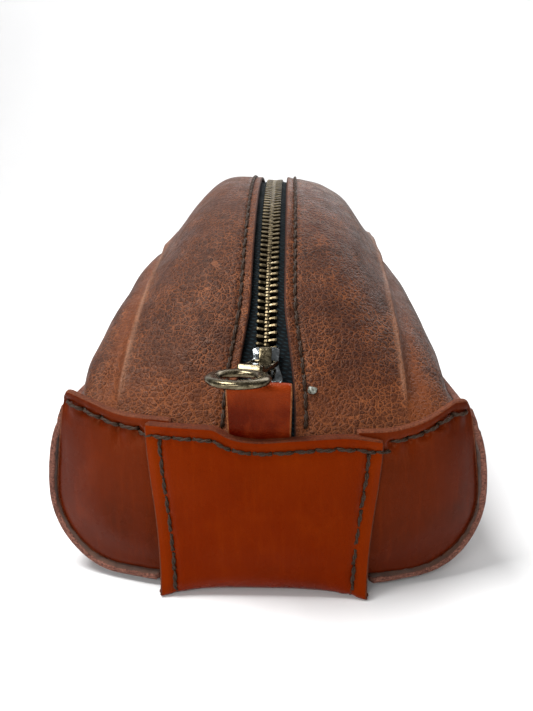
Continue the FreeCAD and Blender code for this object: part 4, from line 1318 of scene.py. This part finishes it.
def build_tab(end):
    """A strip of leather folded over on itself, standing up behind the lip and leaning outward."""
    word = ENDS[end]
    top = box_mm(word + "_zip_tab")[1][2] - TAB_FOLD
    path, centre_y = tab_path(top)
    across = np.linspace(-TAB_HALF, TAB_HALF, 34)
    grid = np.zeros((len(path), len(across), 3))
    taper = 1 - 0.035 * fade(path[:, 1:], 60, 42)
    grid[..., 0] = across[None, :] * taper + (TAB_SHIFT if end < 0 else 0)
    grid[..., 1] = path[:, :1] + 0.25 * (across[None, :] / TAB_HALF) ** 2
    grid[..., 2] = path[:, 1:] - 0.25 * (across[None, :] / TAB_HALF) ** 4
    n = unit(np.cross(np.gradient(grid, axis=0), np.gradient(grid, axis=1)))
    if (n * (grid - [0, centre_y, 52.0])).sum() < 0:
        n = -n
    grid = grid + n * (0.12 * noise_field(grid, 6, 8.0))[..., None]
    inner = grid - n * TAB_THICK
    mirror = np.array([1, -end, 1])
    grid, inner = grid * mirror, inner * mirror
    tab = leather_sheet(word + "_tab", grid, TAB_THICK, [TAB, FLESH, TAB_EDGE], edge_round=0.4, inner=inner)
    # Painted highlight: the tab is lighter over its fold at the top.
    paint(tab, "wear_and_painted_light", fade(grid[..., 2] - top, -7, 2) * (0.75 + 0.4 * noise_field(grid, 5, 16.0)))
    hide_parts(word + "_zip_tab")
    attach(tab, "root")


# ---- camera, light and floor ----
FILM = 36.0
LENS = 728 / 711 * FILM
EYE_MM = (7, -303, 112)
LOOK_DOWN_DEG = 14
LOOK_LEFT_DEG = 2


def build_camera():
    data = bpy.data.cameras.new("camera")
    data.sensor_width = FILM
    data.lens = LENS
    data.clip_start = 0.01
    camera = add_object("camera", data)
    camera.location = Vector(EYE_MM) * MM
    camera.rotation_euler = (math.radians(90 - LOOK_DOWN_DEG), 0, math.radians(LOOK_LEFT_DEG))
    bpy.context.scene.camera = camera


# Each light's place, the point it is aimed at and its size in metres, and its power in watts.
LIGHTS = {
    "key": ((-0.40, -0.10, 0.95), (0, 0, 0.04), (0.5, 0.5), 15.0),
    "front": ((-0.35, -1.3, 0.75), (0, 0, 0.04), (0.7, 0.4), 8.0),
    "back": ((0.45, 0.9, 0.7), (0, 0, 0.05), (0.9, 0.4), 3.0),
    "left": ((-0.75, -0.85, 0.16), (0, -0.12, 0.03), (0.22, 0.3), 1.6),
    "right": ((0.75, -0.85, 0.16), (0, -0.12, 0.03), (0.22, 0.3), 1.2),
    "backdrop": ((0, 0.75, 1.5), (0, 2.0, 0.5), (2.5, 0.6), 28.0),
}
WORLD_STRENGTH = 0.24


def build_light(name, place, aim, size, power):
    data = bpy.data.lights.new(name, "AREA")
    data.shape = "RECTANGLE"
    data.size, data.size_y = size
    data.energy = power
    light = add_object(name, data)
    light.location = place
    light.rotation_euler = (Vector(aim) - Vector(place)).to_track_quat("-Z", "Y").to_euler()


def build_world():
    world = bpy.data.worlds.new("world")
    bpy.context.scene.world = world
    world.use_nodes = True
    sky = world.node_tree.nodes["Background"]
    sky.inputs["Color"].default_value = (1, 1, 1, 1)
    sky.inputs["Strength"].default_value = WORLD_STRENGTH
    bpy.context.scene.view_settings.view_transform = "Standard"


FLOOR_HALF = 4.0
FLOOR_FRONT_Y = -2.5
CURVE_Y = 1.2
CURVE_RADIUS = 0.8


def build_stage():
    """A pale floor that curves up into a backdrop. Its sizes are in metres."""
    g = Graph("stage_white")
    tone = g.ramp(g.noise(400, detail=2), [(0.3, (0.78, 0.78, 0.785)), (0.7, (0.80, 0.80, 0.80))])
    white = g.finish(tone, g.grey(g.noise(200), 0.3, 0.7, 0.75, 0.8))
    profile = [(FLOOR_FRONT_Y, 0.0), (CURVE_Y, 0.0)]
    for a in np.linspace(0, math.pi / 2, 14)[1:]:
        profile.append((CURVE_Y + CURVE_RADIUS * math.sin(a), CURVE_RADIUS - CURVE_RADIUS * math.cos(a)))
    profile.append((CURVE_Y + CURVE_RADIUS, FLOOR_HALF))
    points = [(x, y, z) for y, z in profile for x in (-FLOOR_HALF, FLOOR_HALF)]
    faces = [(i, i + 1, i + 3, i + 2) for i in range(0, 2 * len(profile) - 2, 2)]
    add_mesh("floor", np.array(points) / MM, faces, [white])


# ---- everything ----
def give_material(material, *nodes):
    for node in nodes:
        mesh = frame["nodes"][node].data
        mesh.materials.clear()
        mesh.materials.append(material)


build_camera()
build_stage()
build_world()
for NAME, LIGHT in LIGHTS.items():
    build_light(NAME, *LIGHT)
build_base()
for END in ENDS:
    for SIDE in (-1, 1):
        build_wing(END, SIDE)
    build_tab(END)
build_strap()
build_seams()
for SIDE in (-1, 1):
    build_panel(SIDE)
    build_zip_seam(SIDE)
    build_tape(SIDE)
    build_teeth(SIDE)
build_melted_end()
give_material(TEETH, "zip_top_stops", "zip_bottom_stop")
give_material(SLIDER, "slider_lock_pin")
build_slider()
build_bridge()
build_pull()
